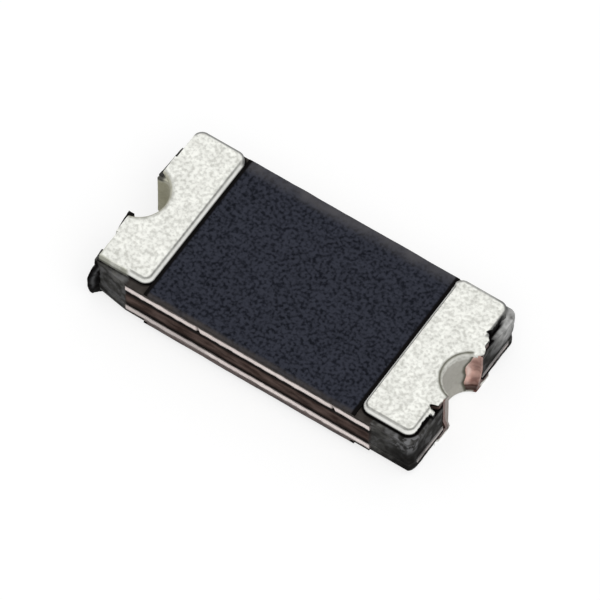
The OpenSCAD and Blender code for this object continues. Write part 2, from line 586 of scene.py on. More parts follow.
@dataclass(frozen=True)
class Finish:
    """A finish whose dark and light colours are mixed by a pattern, under the piece's tints."""

    slot: str
    dark: Rgb
    light: Rgb
    roughness: tuple[float, float]
    metallic: float
    specular: float
    bump: float
    bump_depth: float

    def pattern(self, sheet: NodeSheet, groups: dict[str, Any]) -> tuple[Any, Any, Any]:
        """Return the sockets of the colour mask, the roughness mask and the height."""
        raise NotImplementedError

    def material(self, groups: dict[str, bpy.types.NodeTree]) -> bpy.types.Material:
        """Build the material.

        Args:
            groups: The shared effects by name.

        Returns:
            The material, named after its slot.
        """
        made = bpy.data.materials.new(self.slot)
        made.use_nodes = True
        sheet = NodeSheet(made.node_tree)
        mask, rough_mask, height = self.pattern(sheet, groups)
        tint = sheet.add("ShaderNodeAttribute", attribute_name=TINT).outputs
        plain = sheet.mix(mask, opaque(self.dark), opaque(self.light))
        rough = sheet.add(
            "ShaderNodeMapRange",
            {"Value": rough_mask, "To Min": self.roughness[0], "To Max": self.roughness[1]},
        ).outputs["Result"]
        relief = sheet.add(
            "ShaderNodeBump",
            {"Strength": self.bump, "Distance": self.bump_depth, "Height": height},
        ).outputs["Normal"]
        shader = sheet.add(
            "ShaderNodeBsdfPrincipled",
            {
                "Base Color": sheet.mix(tint["Alpha"], plain, tint["Color"]),
                "Roughness": rough,
                "Metallic": self.metallic,
                "Specular IOR Level": self.specular,
                "Normal": relief,
            },
        )
        sheet.add("ShaderNodeOutputMaterial", {"Surface": shader.outputs["BSDF"]})
        return made


@dataclass(frozen=True)
class GrainFinish(Finish):
    """A finish with a grain."""

    cells_per_mm: float
    clouds_per_mm: float
    cloud_share: float

    def pattern(self, sheet: NodeSheet, groups: dict[str, Any]) -> tuple[Any, Any, Any]:
        """Return the grain with some of the clouds, the clouds and the grain's height."""
        inputs = {"Cells per mm": self.cells_per_mm, "Clouds per mm": self.clouds_per_mm}
        grain = sheet.add("ShaderNodeGroup", inputs, node_tree=groups["grain"])
        fine = sheet.math("MULTIPLY", grain.outputs["Grain"], 1 - self.cloud_share)
        broad = sheet.math("MULTIPLY", grain.outputs["Clouds"], self.cloud_share)
        mask = sheet.math("ADD", fine, broad)
        return mask, grain.outputs["Clouds"], grain.outputs["Height"]


@dataclass(frozen=True)
class CutFinish(Finish):
    """A finish of a cut edge, with streaks along it."""

    along_per_mm: float
    across_per_mm: float

    def pattern(self, sheet: NodeSheet, groups: dict[str, Any]) -> tuple[Any, Any, Any]:
        """Return the streaks as both masks, and their height."""
        inputs = {"Along per mm": self.along_per_mm, "Across per mm": self.across_per_mm}
        streaks = sheet.add("ShaderNodeGroup", inputs, node_tree=groups["cut_streaks"])
        return streaks.outputs["Streak"], streaks.outputs["Streak"], streaks.outputs["Height"]


FINISHES: tuple[Finish, ...] = (
    GrainFinish(
        slot="tin", dark=(0.58, 0.58, 0.535), light=(0.97, 0.975, 0.92),
        roughness=(0.45, 0.65), metallic=0.2, specular=0.12, bump=0.4, bump_depth=0.003 * MM,
        cells_per_mm=31.0, clouds_per_mm=9.0, cloud_share=0.3,
    ),
    GrainFinish(
        slot="mask_coat", dark=(0.004, 0.005, 0.0085), light=(0.0345, 0.0375, 0.052),
        roughness=(0.55, 0.75), metallic=0.0, specular=0.05, bump=0.4, bump_depth=0.003 * MM,
        cells_per_mm=33.0, clouds_per_mm=5.0, cloud_share=0.15,
    ),
    GrainFinish(
        slot="resin", dark=(0.010, 0.010, 0.009), light=(0.15, 0.147, 0.139),
        roughness=(0.45, 0.7), metallic=0.0, specular=0.02, bump=0.5, bump_depth=0.004 * MM,
        cells_per_mm=14.0, clouds_per_mm=6.0, cloud_share=0.5,
    ),
    CutFinish(
        slot="conductive_polymer", dark=(0.035, 0.020, 0.016), light=(0.15, 0.105, 0.092),
        roughness=(0.55, 0.8), metallic=0.0, specular=0.02, bump=0.5, bump_depth=0.004 * MM,
        along_per_mm=5.0, across_per_mm=16.0,
    ),
    CutFinish(
        slot="electrode_foil", dark=(0.82, 0.71, 0.68), light=(1.0, 0.90, 0.865),
        roughness=(0.3, 0.5), metallic=0.4, specular=0.3, bump=0.3, bump_depth=0.002 * MM,
        along_per_mm=3.0, across_per_mm=14.0,
    ),
    GrainFinish(
        slot="copper", dark=(0.32, 0.165, 0.135), light=(0.84, 0.53, 0.45),
        roughness=(0.4, 0.6), metallic=0.5, specular=0.3, bump=0.6, bump_depth=0.006 * MM,
        cells_per_mm=18.0, clouds_per_mm=8.0, cloud_share=0.5,
    ),
)

BLACK: Rgb = (0.002, 0.0015, 0.0015)
SMEAR: Rgb = (0.062, 0.061, 0.058)
EDGE_BROWN: Rgb = (0.06, 0.052, 0.048)
EDGE_GREY: Rgb = (0.078, 0.076, 0.082)
LEDGE_BROWN: Rgb = (0.028, 0.021, 0.018)
# Painted light: a brown lightened to lift the shade on the low edges near the floor.
LIT_LOW_BROWN: Rgb = (0.21, 0.17, 0.16)
FOIL_SMEAR: Rgb = (0.42, 0.36, 0.345)
TORN_COPPER: Rgb = (0.17, 0.075, 0.062)
# Painted sheen: light grey painted as a highlight on the far right corner.
PAINTED_SHEEN: Rgb = (0.55, 0.55, 0.54)
# Light grey of specks and mottle, also used for the stub's painted highlight.
SPECK_AND_HIGHLIGHT: Rgb = (0.17, 0.17, 0.175)
# Painted highlight: near white laid on the sloped rims of the pads.
TIN_HIGHLIGHT: Rgb = (0.98, 0.98, 0.94)
CREASE_GREY: Rgb = (0.15, 0.15, 0.14)
# Painted shade: grey on the steep far rims of the pads.
RIM_SHADE: Rgb = (0.19, 0.19, 0.185)
# Painted shade: dark olive on the rounded edge round a notch and at the tin's torn edge.
OLIVE_SHADE: Rgb = (0.07, 0.068, 0.04)
# Painted shade of the notch walls and lips: olive on the left, grey on the right.
WALL_SHADE_OLIVE: Rgb = (0.34, 0.322, 0.205)
WALL_SHADE_GREY: Rgb = (0.43, 0.415, 0.37)
STAIN: Rgb = (0.50, 0.505, 0.43)
DULL_FOIL: Rgb = (0.075, 0.07, 0.068)
# Darker copper: at the jambs, away from the torn edge and low on the wall.
DARK_COPPER: Rgb = (0.05, 0.025, 0.02)
CUT_PLATING: Rgb = (0.28, 0.225, 0.21)
# Painted highlight: pale pink on the bare copper beside the torn tin.
COPPER_HIGHLIGHT: Rgb = (0.95, 0.74, 0.67)


# The chip


@dataclass(frozen=True)
class Wear:
    """Where the end zones take their coats, as spans from where a coat begins to where it is full.

    The coats are mottle, a darker right end face, a dark near right corner with specks, and a
    painted sheen on the far right corner. X is measured from the right end and Y from the nearest
    long edge. A cover is a coat's strength.
    """

    # The far right corner, which bulges and has the painted sheen.
    far_corner_x: Span = (-0.14 * MM, -0.02 * MM)
    far_corner_y: Span = (-0.42 * MM, -0.15 * MM)
    far_corner_z: Span = (0.12 * MM, 0.34 * MM)
    # Painted sheen: its heights and its patchy cover.
    painted_sheen_z: Span = (0.17 * MM, 0.38 * MM)
    painted_sheen: Patches = Patches(0.75, 0.9, 0.05 * MM, Seed.PAINTED_SHEEN)
    mottle: Patches = Patches(0.0, 1.0, 0.05 * MM, Seed.MOTTLE)
    dark_mottle: Span = (0.0, 0.3)
    dark_cover: float = 0.45
    light_mottle: Span = (-0.05, -0.35)
    light_cover: float = 0.5
    end_face_x: Span = (-0.03 * MM, -0.005 * MM)
    end_face_cover: float = 0.4
    corner_x: Span = (-0.3 * MM, -0.12 * MM)
    corner_y: Span = (0.3 * MM, 0.14 * MM)
    corner_cover: float = 0.35
    corner_foot: Span = (0.4 * MM, 0.28 * MM)
    corner_foot_cover: float = 0.6
    specks: Patches = Patches(0.0, 1.0, 0.035 * MM, Seed.SPECKS)
    speck_share: Span = (0.0, 0.15)
    speck_z: Span = (0.3 * MM, 0.4 * MM)


@dataclass(frozen=True)
class ChipPlan:
    """Sizes that the pieces share, in metres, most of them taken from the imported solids."""

    end_x: float
    half_width: float
    foil_left_x: float
    foil_right_x: float
    height: float
    left_trim: float = 0.055 * MM
    right_trim: float = 0.015 * MM
    corner_radius: float = 0.09 * MM
    tongue_margin: float = 0.1 * MM
    notch_radius: float = 0.26 * MM
    notch_offset: float = 0.065 * MM
    foot_height: float = 0.25 * MM
    foot_growth: float = 0.06 * MM
    tin_thickness: float = 0.02 * MM
    barrel_copper: float = 0.03 * MM
    corner_bulge: float = 0.028 * MM
    outline_step: float = 0.012 * MM
    zone_blend: float = 0.012 * MM
    wear: Wear = Wear()

    @classmethod
    def from_frame(cls) -> "ChipPlan":
        """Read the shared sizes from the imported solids' boxes."""
        upper_low, upper_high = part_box("upper_electrode")
        lower_low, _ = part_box("lower_electrode")
        _, tin_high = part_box("right_tin_coat")
        return cls(
            end_x=-upper_low.x,
            half_width=upper_high.y,
            foil_left_x=lower_low.x,
            foil_right_x=upper_high.x,
            height=tin_high.z,
        )

    @property
    def tongue_half(self) -> float:
        """Half the width of a foil's tongue."""
        return self.half_width - self.tongue_margin

    @property
    def notch_x(self) -> float:
        """Distance from the middle of the chip to a notch's axis."""
        return self.end_x + self.notch_offset

    @property
    def copper_bore(self) -> float:
        """Radius of the copper wall's face."""
        return self.notch_radius + self.tin_thickness

    @property
    def drill_radius(self) -> float:
        """Radius of the drilled wall behind the copper."""
        return self.copper_bore + self.barrel_copper

    def foot_inset(self, z: Array | float) -> Array | float:
        """Return how much the foot of the plating narrows a notch at each height."""
        return self.foot_growth * np.clip(1 - z / self.foot_height, 0, 1)

    def opening_angle(self, radius: Array | float) -> Array | float:
        """Return half the angle, in degrees, of a notch wall of that radius inside the end."""
        return np.degrees(np.arccos(self.notch_offset / radius))

    def trim_angle(self, trim: float) -> float:
        """Return the angle, in degrees, that a trim of that depth leaves of a round corner."""
        return math.degrees(math.asin(1 - trim / self.corner_radius))

    def corner_arc(self, corner: Corner) -> Array:
        """Lay out one round corner of the laminate, anticlockwise.

        Args:
            corner: Which corner.

        Returns:
            Plan points of shape (n, 2).
        """
        angles = {
            Corner.NEAR_LEFT: (180, 180 + self.trim_angle(self.left_trim)),
            Corner.NEAR_RIGHT: (-self.trim_angle(self.right_trim), 0),
            Corner.FAR_RIGHT: (0, 90),
            Corner.FAR_LEFT: (90, 180),
        }
        radius = self.corner_radius
        x, y = corner.value
        centre = (x * (self.end_x - radius), y * (self.half_width - radius))
        return arc(centre, radius, *angles[corner])

    def shoulder(self, corner: Corner) -> Array:
        """Return the plan point, of shape (1, 2), where an end zone meets the middle."""
        x, y = corner.value
        edge = y * self.half_width + self.right_trim * (corner is Corner.NEAR_RIGHT)
        return np.array([(self.foil_right_x if x > 0 else self.foil_left_x, edge)])

    def drilled_end(self, end: End) -> Array:
        """Lay out the drilled wall of one end, anticlockwise round the chip.

        Args:
            end: Which end.

        Returns:
            Plan points of shape (n, 2).
        """
        half = self.opening_angle(self.drill_radius)
        turn = 180 if end is End.RIGHT else 0
        return arc((end.value * self.notch_x, 0), self.drill_radius, turn + half, turn - half)

    def end_corners(self, end: End) -> tuple[Corner, Corner]:
        """Return the two corners of an end in anticlockwise order."""
        if end is End.RIGHT:
            return Corner.NEAR_RIGHT, Corner.FAR_RIGHT
        return Corner.FAR_LEFT, Corner.NEAR_LEFT

    def end_zone(self, end: End) -> Array:
        """Lay out a whole end zone from shoulder to shoulder, anticlockwise.

        Args:
            end: Which end.

        Returns:
            Plan points of shape (n, 2).
        """
        first, second = self.end_corners(end)
        return np.concatenate(
            [
                self.shoulder(first),
                self.corner_arc(first),
                self.drilled_end(end),
                self.corner_arc(second),
                self.shoulder(second),
            ]
        )

    def end_edge(self, end: End, y: Array) -> Array:
        """Return how far out from the middle an end's edge lies at each Y, notch included."""
        path = self.end_zone(end) * (end.value, 1)
        path = path if end is End.RIGHT else path[::-1]
        return np.interp(y, path[:, 1], path[:, 0])

    def laminate(self) -> Array:
        """Lay out the whole laminate in plan, anticlockwise, with a step at the right shoulder."""
        step = np.array([(self.foil_right_x, -self.half_width)])
        path = np.concatenate([step, self.end_zone(End.RIGHT), self.end_zone(End.LEFT)])
        return subdivided(path, self.outline_step)

    def foil(self, tongue: End) -> Array:
        """Lay out a foil whose tongue runs to one end, anticlockwise.

        Args:
            tongue: The end that the tongue reaches.

        Returns:
            Plan points of shape (n, 2).
        """
        low, high = self.foil_left_x, self.foil_right_x
        if tongue is End.LEFT:
            low, high = -high, -low
        half, narrow = self.half_width, self.tongue_half
        outline = np.concatenate(
            [
                [(low, -half), (high, -half), (high, -narrow), (self.end_x, -narrow)],
                self.drilled_end(End.RIGHT),
                [(self.end_x, narrow), (high, narrow), (high, half), (low, half)],
            ]
        )
        if tongue is End.LEFT:
            outline = outline[::-1] * (-1, 1)
        return subdivided(outline, self.outline_step / 2)

    def side_feet(self, end: End) -> list[Array]:
        """Lay out the two strips beside a foil's tongue, anticlockwise."""
        first, second = self.end_corners(end)
        outer = end.value * self.end_x
        inner = self.shoulder(first)[0, 0]
        before, after = first.value[1] * self.tongue_half, second.value[1] * self.tongue_half
        return [
            np.concatenate(
                [self.shoulder(first), self.corner_arc(first), [(outer, before), (inner, before)]]
            ),
            np.concatenate(
                [[(inner, after), (outer, after)], self.corner_arc(second), self.shoulder(second)]
            ),
        ]

    def end_zone_share(self, points: Array) -> Array:
        """Return 1 in the end zones and 0 in the middle, with a short blend between."""
        x, half = points[..., 0], self.zone_blend / 2
        right = fade(x, self.foil_right_x - half, self.foil_right_x + half)
        left = fade(x, self.foil_left_x + half, self.foil_left_x - half)
        return np.maximum(left, right)

    def bulge_and_sheen_share(self, points: Array) -> Array:
        """Return 1 at the top of the far right corner, which bulges and has a painted sheen,
        falling to 0 away.
        """
        wear = self.wear
        x, y, z = np.moveaxis(points, -1, 0)
        across = fade(x - self.end_x, *wear.far_corner_x) * fade(y - self.half_width, *wear.far_corner_y)
        return across * fade(z, *wear.far_corner_z)

    def bulge(self, points: Array) -> Array:
        """Return the outward bulge of the far right corner."""
        return self.corner_bulge * self.bulge_and_sheen_share(points)

    def end_zone_coats(self, tints: Array, points: Array) -> Array:
        """Add the coats of the end zones to tints, a painted sheen among them.

        Dark and light mottle covers the zones, and the right end face is darker. The near right
        corner is dark with light specks above, and the far right one has a painted sheen, a
        highlight painted on its top.

        Args:
            tints: Tints of shape (..., 4).
            points: Their points of shape (..., 3).

        Returns:
            The new tints.
        """
        wear = self.wear
        x, y, z = np.moveaxis(points, -1, 0)
        from_end, from_near = x - self.end_x, y + self.half_width
        mottle, zone = wear.mottle.at(points), self.end_zone_share(points)
        tints = paint(tints, BLACK, wear.end_face_cover * fade(from_end, *wear.end_face_x))
        tints = paint(tints, BLACK, wear.dark_cover * zone * fade(mottle, *wear.dark_mottle))
        tints = paint(tints, SPECK_AND_HIGHLIGHT, wear.light_cover * zone * fade(mottle, *wear.light_mottle))
        corner = fade(from_end, *wear.corner_x) * fade(from_near, *wear.corner_y)
        foot = corner * fade(z, *wear.corner_foot)
        tints = paint(tints, BLACK, wear.corner_foot_cover * foot)
        tints = paint(tints, BLACK, wear.corner_cover * corner)
        specks = fade(wear.specks.at(points), *wear.speck_share) * fade(z, *wear.speck_z)
        tints = paint(tints, SPECK_AND_HIGHLIGHT, corner * specks)
        # Painted sheen: a highlight painted on the top of the far right corner.
        highlight = self.bulge_and_sheen_share(points) * fade(z, *wear.painted_sheen_z)
        return paint(tints, PAINTED_SHEEN, wear.painted_sheen.at(points) * highlight)


@dataclass(frozen=True)
class Stub:
    """The hooked stub at the near left corner, where the chip broke from its panel."""

    plan: ChipPlan
    reach: float = 0.118 * MM
    thickness: float = 0.05 * MM
    angle: float = 53.0
    hook_top: float = 0.56 * MM
    hook_full: float = 0.25 * MM
    tuck: float = 0.2
    tuck_start: float = 0.15 * MM
    droop: float = 0.04 * MM
    roughness: float = 0.011 * MM
    cell: float = 0.04 * MM
    least_edge: float = 0.01
    # Painted highlight near the stub's tip: its place, width, heights, patches and cover.
    highlight_place: float = 1.5
    highlight_width: float = 0.7
    light_z: Span = (0.1 * MM, 0.2 * MM)
    highlight_patches: Patches = Patches(0.0, 1.0, 0.06 * MM, Seed.STUB_HIGHLIGHT)
    highlight_share: Span = (-0.3, 0.05)
    light_cover: float = 0.65
    root_z: Span = (0.36 * MM, 0.44 * MM)
    root_run: Span = (0.02 * MM, 0.0)
    root_cover: float = 0.5
    columns: int = 22
    levels: int = 16

    def shell(self, low: float, high: float) -> Shell:
        """Shape the stub between two heights.

        Its middle line runs out from the corner at a slant. Its length grows from nothing at the
        hook's top to the full reach and draws in a little at the bottom. Its thickness ends in a
        half circle, and noise roughens both sides.

        Args:
            low: Height of its lower end.
            high: Height of its upper end.

        Returns:
            The closed shell.
        """
        plan, half = self.plan, self.thickness / 2
        heights = np.linspace(low, high, self.levels)[:, None]
        hook = fade(heights, self.hook_top, self.hook_full)
        tip = self.reach * hook * (1 - self.tuck * fade(heights, self.tuck_start, 0))
        run = eased(self.columns)[None, :] * (tip + self.thickness) - self.thickness
        beyond = np.clip((run - (tip - half)) / half, 0, 1)
        width = half * np.sqrt(np.clip(1 - beyond**2, self.least_edge, None))
        turn = math.radians(self.angle)
        root_x, root_y = half - plan.end_x, plan.left_trim + half - plan.half_width
        sides = []
        for side in (1, -1):
            x = root_x - run * math.cos(turn) + side * width * math.sin(turn)
            y = root_y - run * math.sin(turn) - side * width * math.cos(turn)
            points = placed(x, y, heights)
            rough = self.roughness * fractal_noise(points, self.cell, Seed.STUB)
            points[..., 0] += side * rough * math.sin(turn)
            points[..., 1] -= side * rough * math.cos(turn)
            sides.append(points)
        return slab(*sides, self.tints(sides[0], run, tip))

    def tints(self, points: Array, run: Array, tip: Array) -> Array:
        """Blacken the stub, with a painted highlight near its tip and a light root near its top.

        Args:
            points: Points of one side, of shape (levels, columns, 3).
            run: Their distance from the corner along the middle line.
            tip: Distance of the tip at each height.

        Returns:
            The tints of the points.
        """
        half, z = self.thickness / 2, points[..., 2]
        # Painted highlight: a light band near the tip.
        highlight_band = bell(run, tip - self.highlight_place * half, self.highlight_width * half)
        patchy = fade(self.highlight_patches.at(points), *self.highlight_share)
        light = self.light_cover * highlight_band * fade(z, *self.light_z) * patchy
        root = self.root_cover * fade(z, *self.root_z) * fade(run, *self.root_run)
        tints = paint(clear(points), BLACK, np.ones_like(run))
        return paint(tints, SPECK_AND_HIGHLIGHT, np.maximum(light, root))


@dataclass(frozen=True)
class Tear:
    """A torn slit in the outer edge of a pad, or a tongue where the depth is below 0."""

    y: float
    width: float
    depth: float


@dataclass(frozen=True)
class Land:
    """Plan of one pad in its end's own coordinates, with X growing outwards.

    The radius of the outer corner is given for the near and the far side.
    """

    plan: ChipPlan
    inner: float
    outer: float
    middle: float
    half_width: float
    corner: float
    outer_corner: Span
    collar: float
    bore: float
    tears: tuple[Tear, ...]
    ragged: float
    seed: int
    ragged_middle: float = 0.6
    ragged_cell: float = 0.05 * MM
    corner_start: float = 1e-7
    corner_rows: int = 14
    jamb_reach: float = 0.03 * MM
    jamb_rows: int = 17

    @property
    def far_y(self) -> float:
        """Y of the far edge."""
        return self.middle + self.half_width

    def corner_cut(self, y: Array, radius: Array | float) -> Array:
        """Return how far a round corner draws the edge in at each Y."""
        over = np.clip(np.abs(y - self.middle) - (self.half_width - radius), 0, radius)
        return radius - np.sqrt(radius**2 - over**2)

    def reach(self, radius: float) -> float:
        """Return the Y at which a circle round the notch's axis meets the cut end."""
        return math.sqrt(radius**2 - self.plan.notch_offset**2)

    def outer_edge(self, y: Array) -> Array:
        """Return the outer edge's X at each Y: pad, collar, raggedness, tears and notch."""
        plan = self.plan
        edge = self.outer - self.corner_cut(y, np.where(y < 0, *self.outer_corner))
        edge = np.where(np.abs(y) < self.reach(self.collar), plan.end_x, edge)
        seed = Seed.PAD_EDGE + self.seed
        wander = fractal_noise(placed(0.0, y, 0.0), self.ragged_cell, seed, octaves=4)
        edge = edge - self.ragged * (self.ragged_middle + wander)
        for tear in self.tears:
            across = np.clip(np.abs(y - tear.y) / tear.width, 0, 1)
            edge = edge - tear.depth * (1 - across**2)
        wall = plan.notch_x - np.sqrt(np.clip(self.bore**2 - y**2, 0, None))
        return np.where(np.abs(y) < self.reach(self.bore), wall, edge)

    def grid(self, rows: int, columns: int) -> tuple[Array, Array]:
        """Rule a grid between the inner and the outer edge, denser at corners and jambs.

        Args:
            rows: About how many rows run across the chip.
            columns: How many points lie in a row.

        Returns:
            X and Y of shape (rows, columns).
        """
        low, high = self.middle - self.half_width, self.far_y
        corner = np.geomspace(self.corner_start, self.corner, self.corner_rows)
        fine = np.linspace(-self.jamb_reach, self.jamb_reach, self.jamb_rows)
        jambs = [sign * self.reach(r) + fine for r in (self.bore, self.collar) for sign in (-1, 1)]
        even = np.linspace(low, high, rows)
        steps = merged([even, low + corner, high - corner, *jambs], low, high)
        start = self.inner + self.corner_cut(steps, self.corner)
        length = self.outer_edge(steps) - start
        x = start[:, None] + length[:, None] * eased(columns)
        return x, np.repeat(steps[:, None], columns, axis=1)

    def rim_distance(self, x: Array, y: Array) -> Array:
        """Return the distance inside the plated edges, leaving out the cut end and the notch."""
        middle, half = (self.inner + self.outer) / 2, (self.outer - self.inner) / 2
        radius = np.where(x < middle, self.corner, np.where(y < self.middle, *self.outer_corner))
        across = np.abs(x - middle) - half + radius
        along = np.abs(y - self.middle) - self.half_width + radius
        outside = np.hypot(np.clip(across, 0, None), np.clip(along, 0, None))
        pad = radius - outside - np.minimum(np.maximum(across, along), 0)
        return np.maximum(pad, self.collar - self.bore - self.bore_distance(x, y))

    def bore_distance(self, x: Array, y: Array) -> Array:
        """Return the distance outside the notch's wall."""
        return np.hypot(x - self.plan.notch_x, y) - self.bore


def finish_piece(
    piece: bpy.types.Object, node: str, slot: str, materials: dict[str, bpy.types.Material]
) -> None:
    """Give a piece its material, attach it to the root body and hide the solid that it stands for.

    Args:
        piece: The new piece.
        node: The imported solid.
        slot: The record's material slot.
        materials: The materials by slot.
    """
    piece.data.materials.append(materials[slot])
    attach(piece, "root")
    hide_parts(node)


@dataclass
class PolymerCore:
    """The conductive polymer sheet between the foils."""

    plan: ChipPlan
    stub: Stub
    roughness: float = 0.005 * MM
    cell: float = 0.06 * MM
    recess: float = 0.006 * MM
    # Painted shade on the cut beside each foil:
    foil_shade_below: Span = (0.073 * MM, 0.018 * MM)
    foil_shade_above: Span = (0.075 * MM, 0.045 * MM)
    dark_cover: float = 0.95
    levels: int = 16

    def push(self, points: Array) -> Array:
        """Return the rough cut's outward shift: noise and the corner's bulge less the recess."""
        rough = self.roughness * fractal_noise(points, self.cell, Seed.POLYMER)
        return rough + self.plan.bulge(points) - self.recess

    def tint(self, points: Array) -> Array:
        """Darken the cut beside the foils with painted shade, and smear resin over it in the end
        zones.
        """
        low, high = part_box("ptc_core")
        z = points[..., 2]
        # Painted shade in the recess beside the foils.
        below, above = fade(z - low.z, *self.foil_shade_below), fade(high.z - z, *self.foil_shade_above)
        tints = paint(clear(points), BLACK, self.dark_cover * np.maximum(below, above))
        tints = paint(tints, SMEAR, self.plan.end_zone_share(points))
        return self.plan.end_zone_coats(tints, points)

    def build(self) -> bpy.types.Object:
        """Sweep the cut edge round the laminate's plan, a little behind the foils."""
        low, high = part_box("ptc_core")
        path = self.plan.laminate()
        sheet = swept_layer(path, low.z, high.z, self.levels, self.push, self.tint)
        return make_piece("polymer_core_sheet", [sheet, self.stub.shell(low.z, high.z)])

    def dress(self, piece: bpy.types.Object, materials: dict[str, Any]) -> None:
        """Give the sheet its finish."""
        finish_piece(piece, "ptc_core", "conductive_polymer", materials)


@dataclass
class FaceLayer:
    """A layer that the chip has both above and below its core."""

    solid: ClassVar[str]
    finish: ClassVar[str]
    plan: ChipPlan
    face: Face

    @property
    def node(self) -> str:
        """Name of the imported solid."""
        return f"{self.face.label}_{self.solid}"

    def dress(self, piece: bpy.types.Object, materials: dict[str, Any]) -> None:
        """Give the layer its finish."""
        finish_piece(piece, self.node, self.finish, materials)


@dataclass
class Electrode(FaceLayer):
    """One metal foil, full width in the middle, with a tongue to one terminal."""

    solid: ClassVar[str] = "electrode"
    finish: ClassVar[str] = "electrode_foil"
    tongue: End
    nicks: tuple[float, ...] = ()
    nick_width: float = 0.014 * MM
    nick_depth: float = 0.02 * MM
    nick_slant: float = 0.4
    nick_cover: float = 0.85
    near_share: float = 0.95
    rim: Span = (0.25, 0.5)
    rim_cover: float = 0.85
    dim_until: float | None = None
    dim_blend: float = 0.1 * MM
    dim_cover: float = 0.3
    end_cover: float = 0.55
    end_rise: Span = (0.35, 0.65)
    roughness: float = 0.004 * MM
    cell: float = 0.05 * MM
    levels: int = 9

    def nick_share(self, points: Array) -> Array:
        """Return bell curves round the nicks on the near side, slanting with the height."""
        low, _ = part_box(self.node)
        slanted = points[..., 0] + self.nick_slant * (points[..., 2] - low.z)
        near = points[..., 1] < -self.near_share * self.plan.half_width
        curves = [bell(slanted, nick, self.nick_width) for nick in self.nicks]
        return near * sum(curves, np.zeros_like(slanted))

    def push(self, points: Array) -> Array:
        """Return the outward shift: fractal noise less the nicks."""
        rough = self.roughness * fractal_noise(points, self.cell, Seed.FOIL)
        return rough - self.nick_depth * self.nick_share(points)

    def tint(self, points: Array) -> Array:
        """Darken the rims, the nicks, the dim stretch and the smeared cut at the ends."""
        low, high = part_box(self.node)
        x, z = points[..., 0], points[..., 2]
        rise = (z - low.z) / (high.z - low.z)
        rim = fade(np.abs(rise - 0.5), *self.rim)
        tints = paint(clear(points), EDGE_BROWN, self.rim_cover * rim)
        tints = paint(tints, EDGE_BROWN, self.nick_cover * self.nick_share(points))
        if self.dim_until is not None:
            dim = fade(x, self.dim_until + self.dim_blend, self.dim_until)
            tints = paint(tints, DULL_FOIL, self.dim_cover * dim)
        smeared = self.end_cover + (1 - self.end_cover) * fade(rise, *self.end_rise)
        return paint(tints, DULL_FOIL, self.plan.end_zone_share(points) * smeared)

    def build(self) -> bpy.types.Object:
        """Sweep the sheared edge round the foil's plan."""
        low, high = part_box(self.node)
        path = self.plan.foil(self.tongue)
        shell = swept_layer(path, low.z, high.z, self.levels, self.push, self.tint)
        return make_piece(f"{self.face.label}_foil", [shell])


@dataclass(frozen=True)
class Burr:
    """A sliver of resin that the cut drew up along the left end."""

    middle: float
    length: float
    reach: float
    drop: float = 0.0


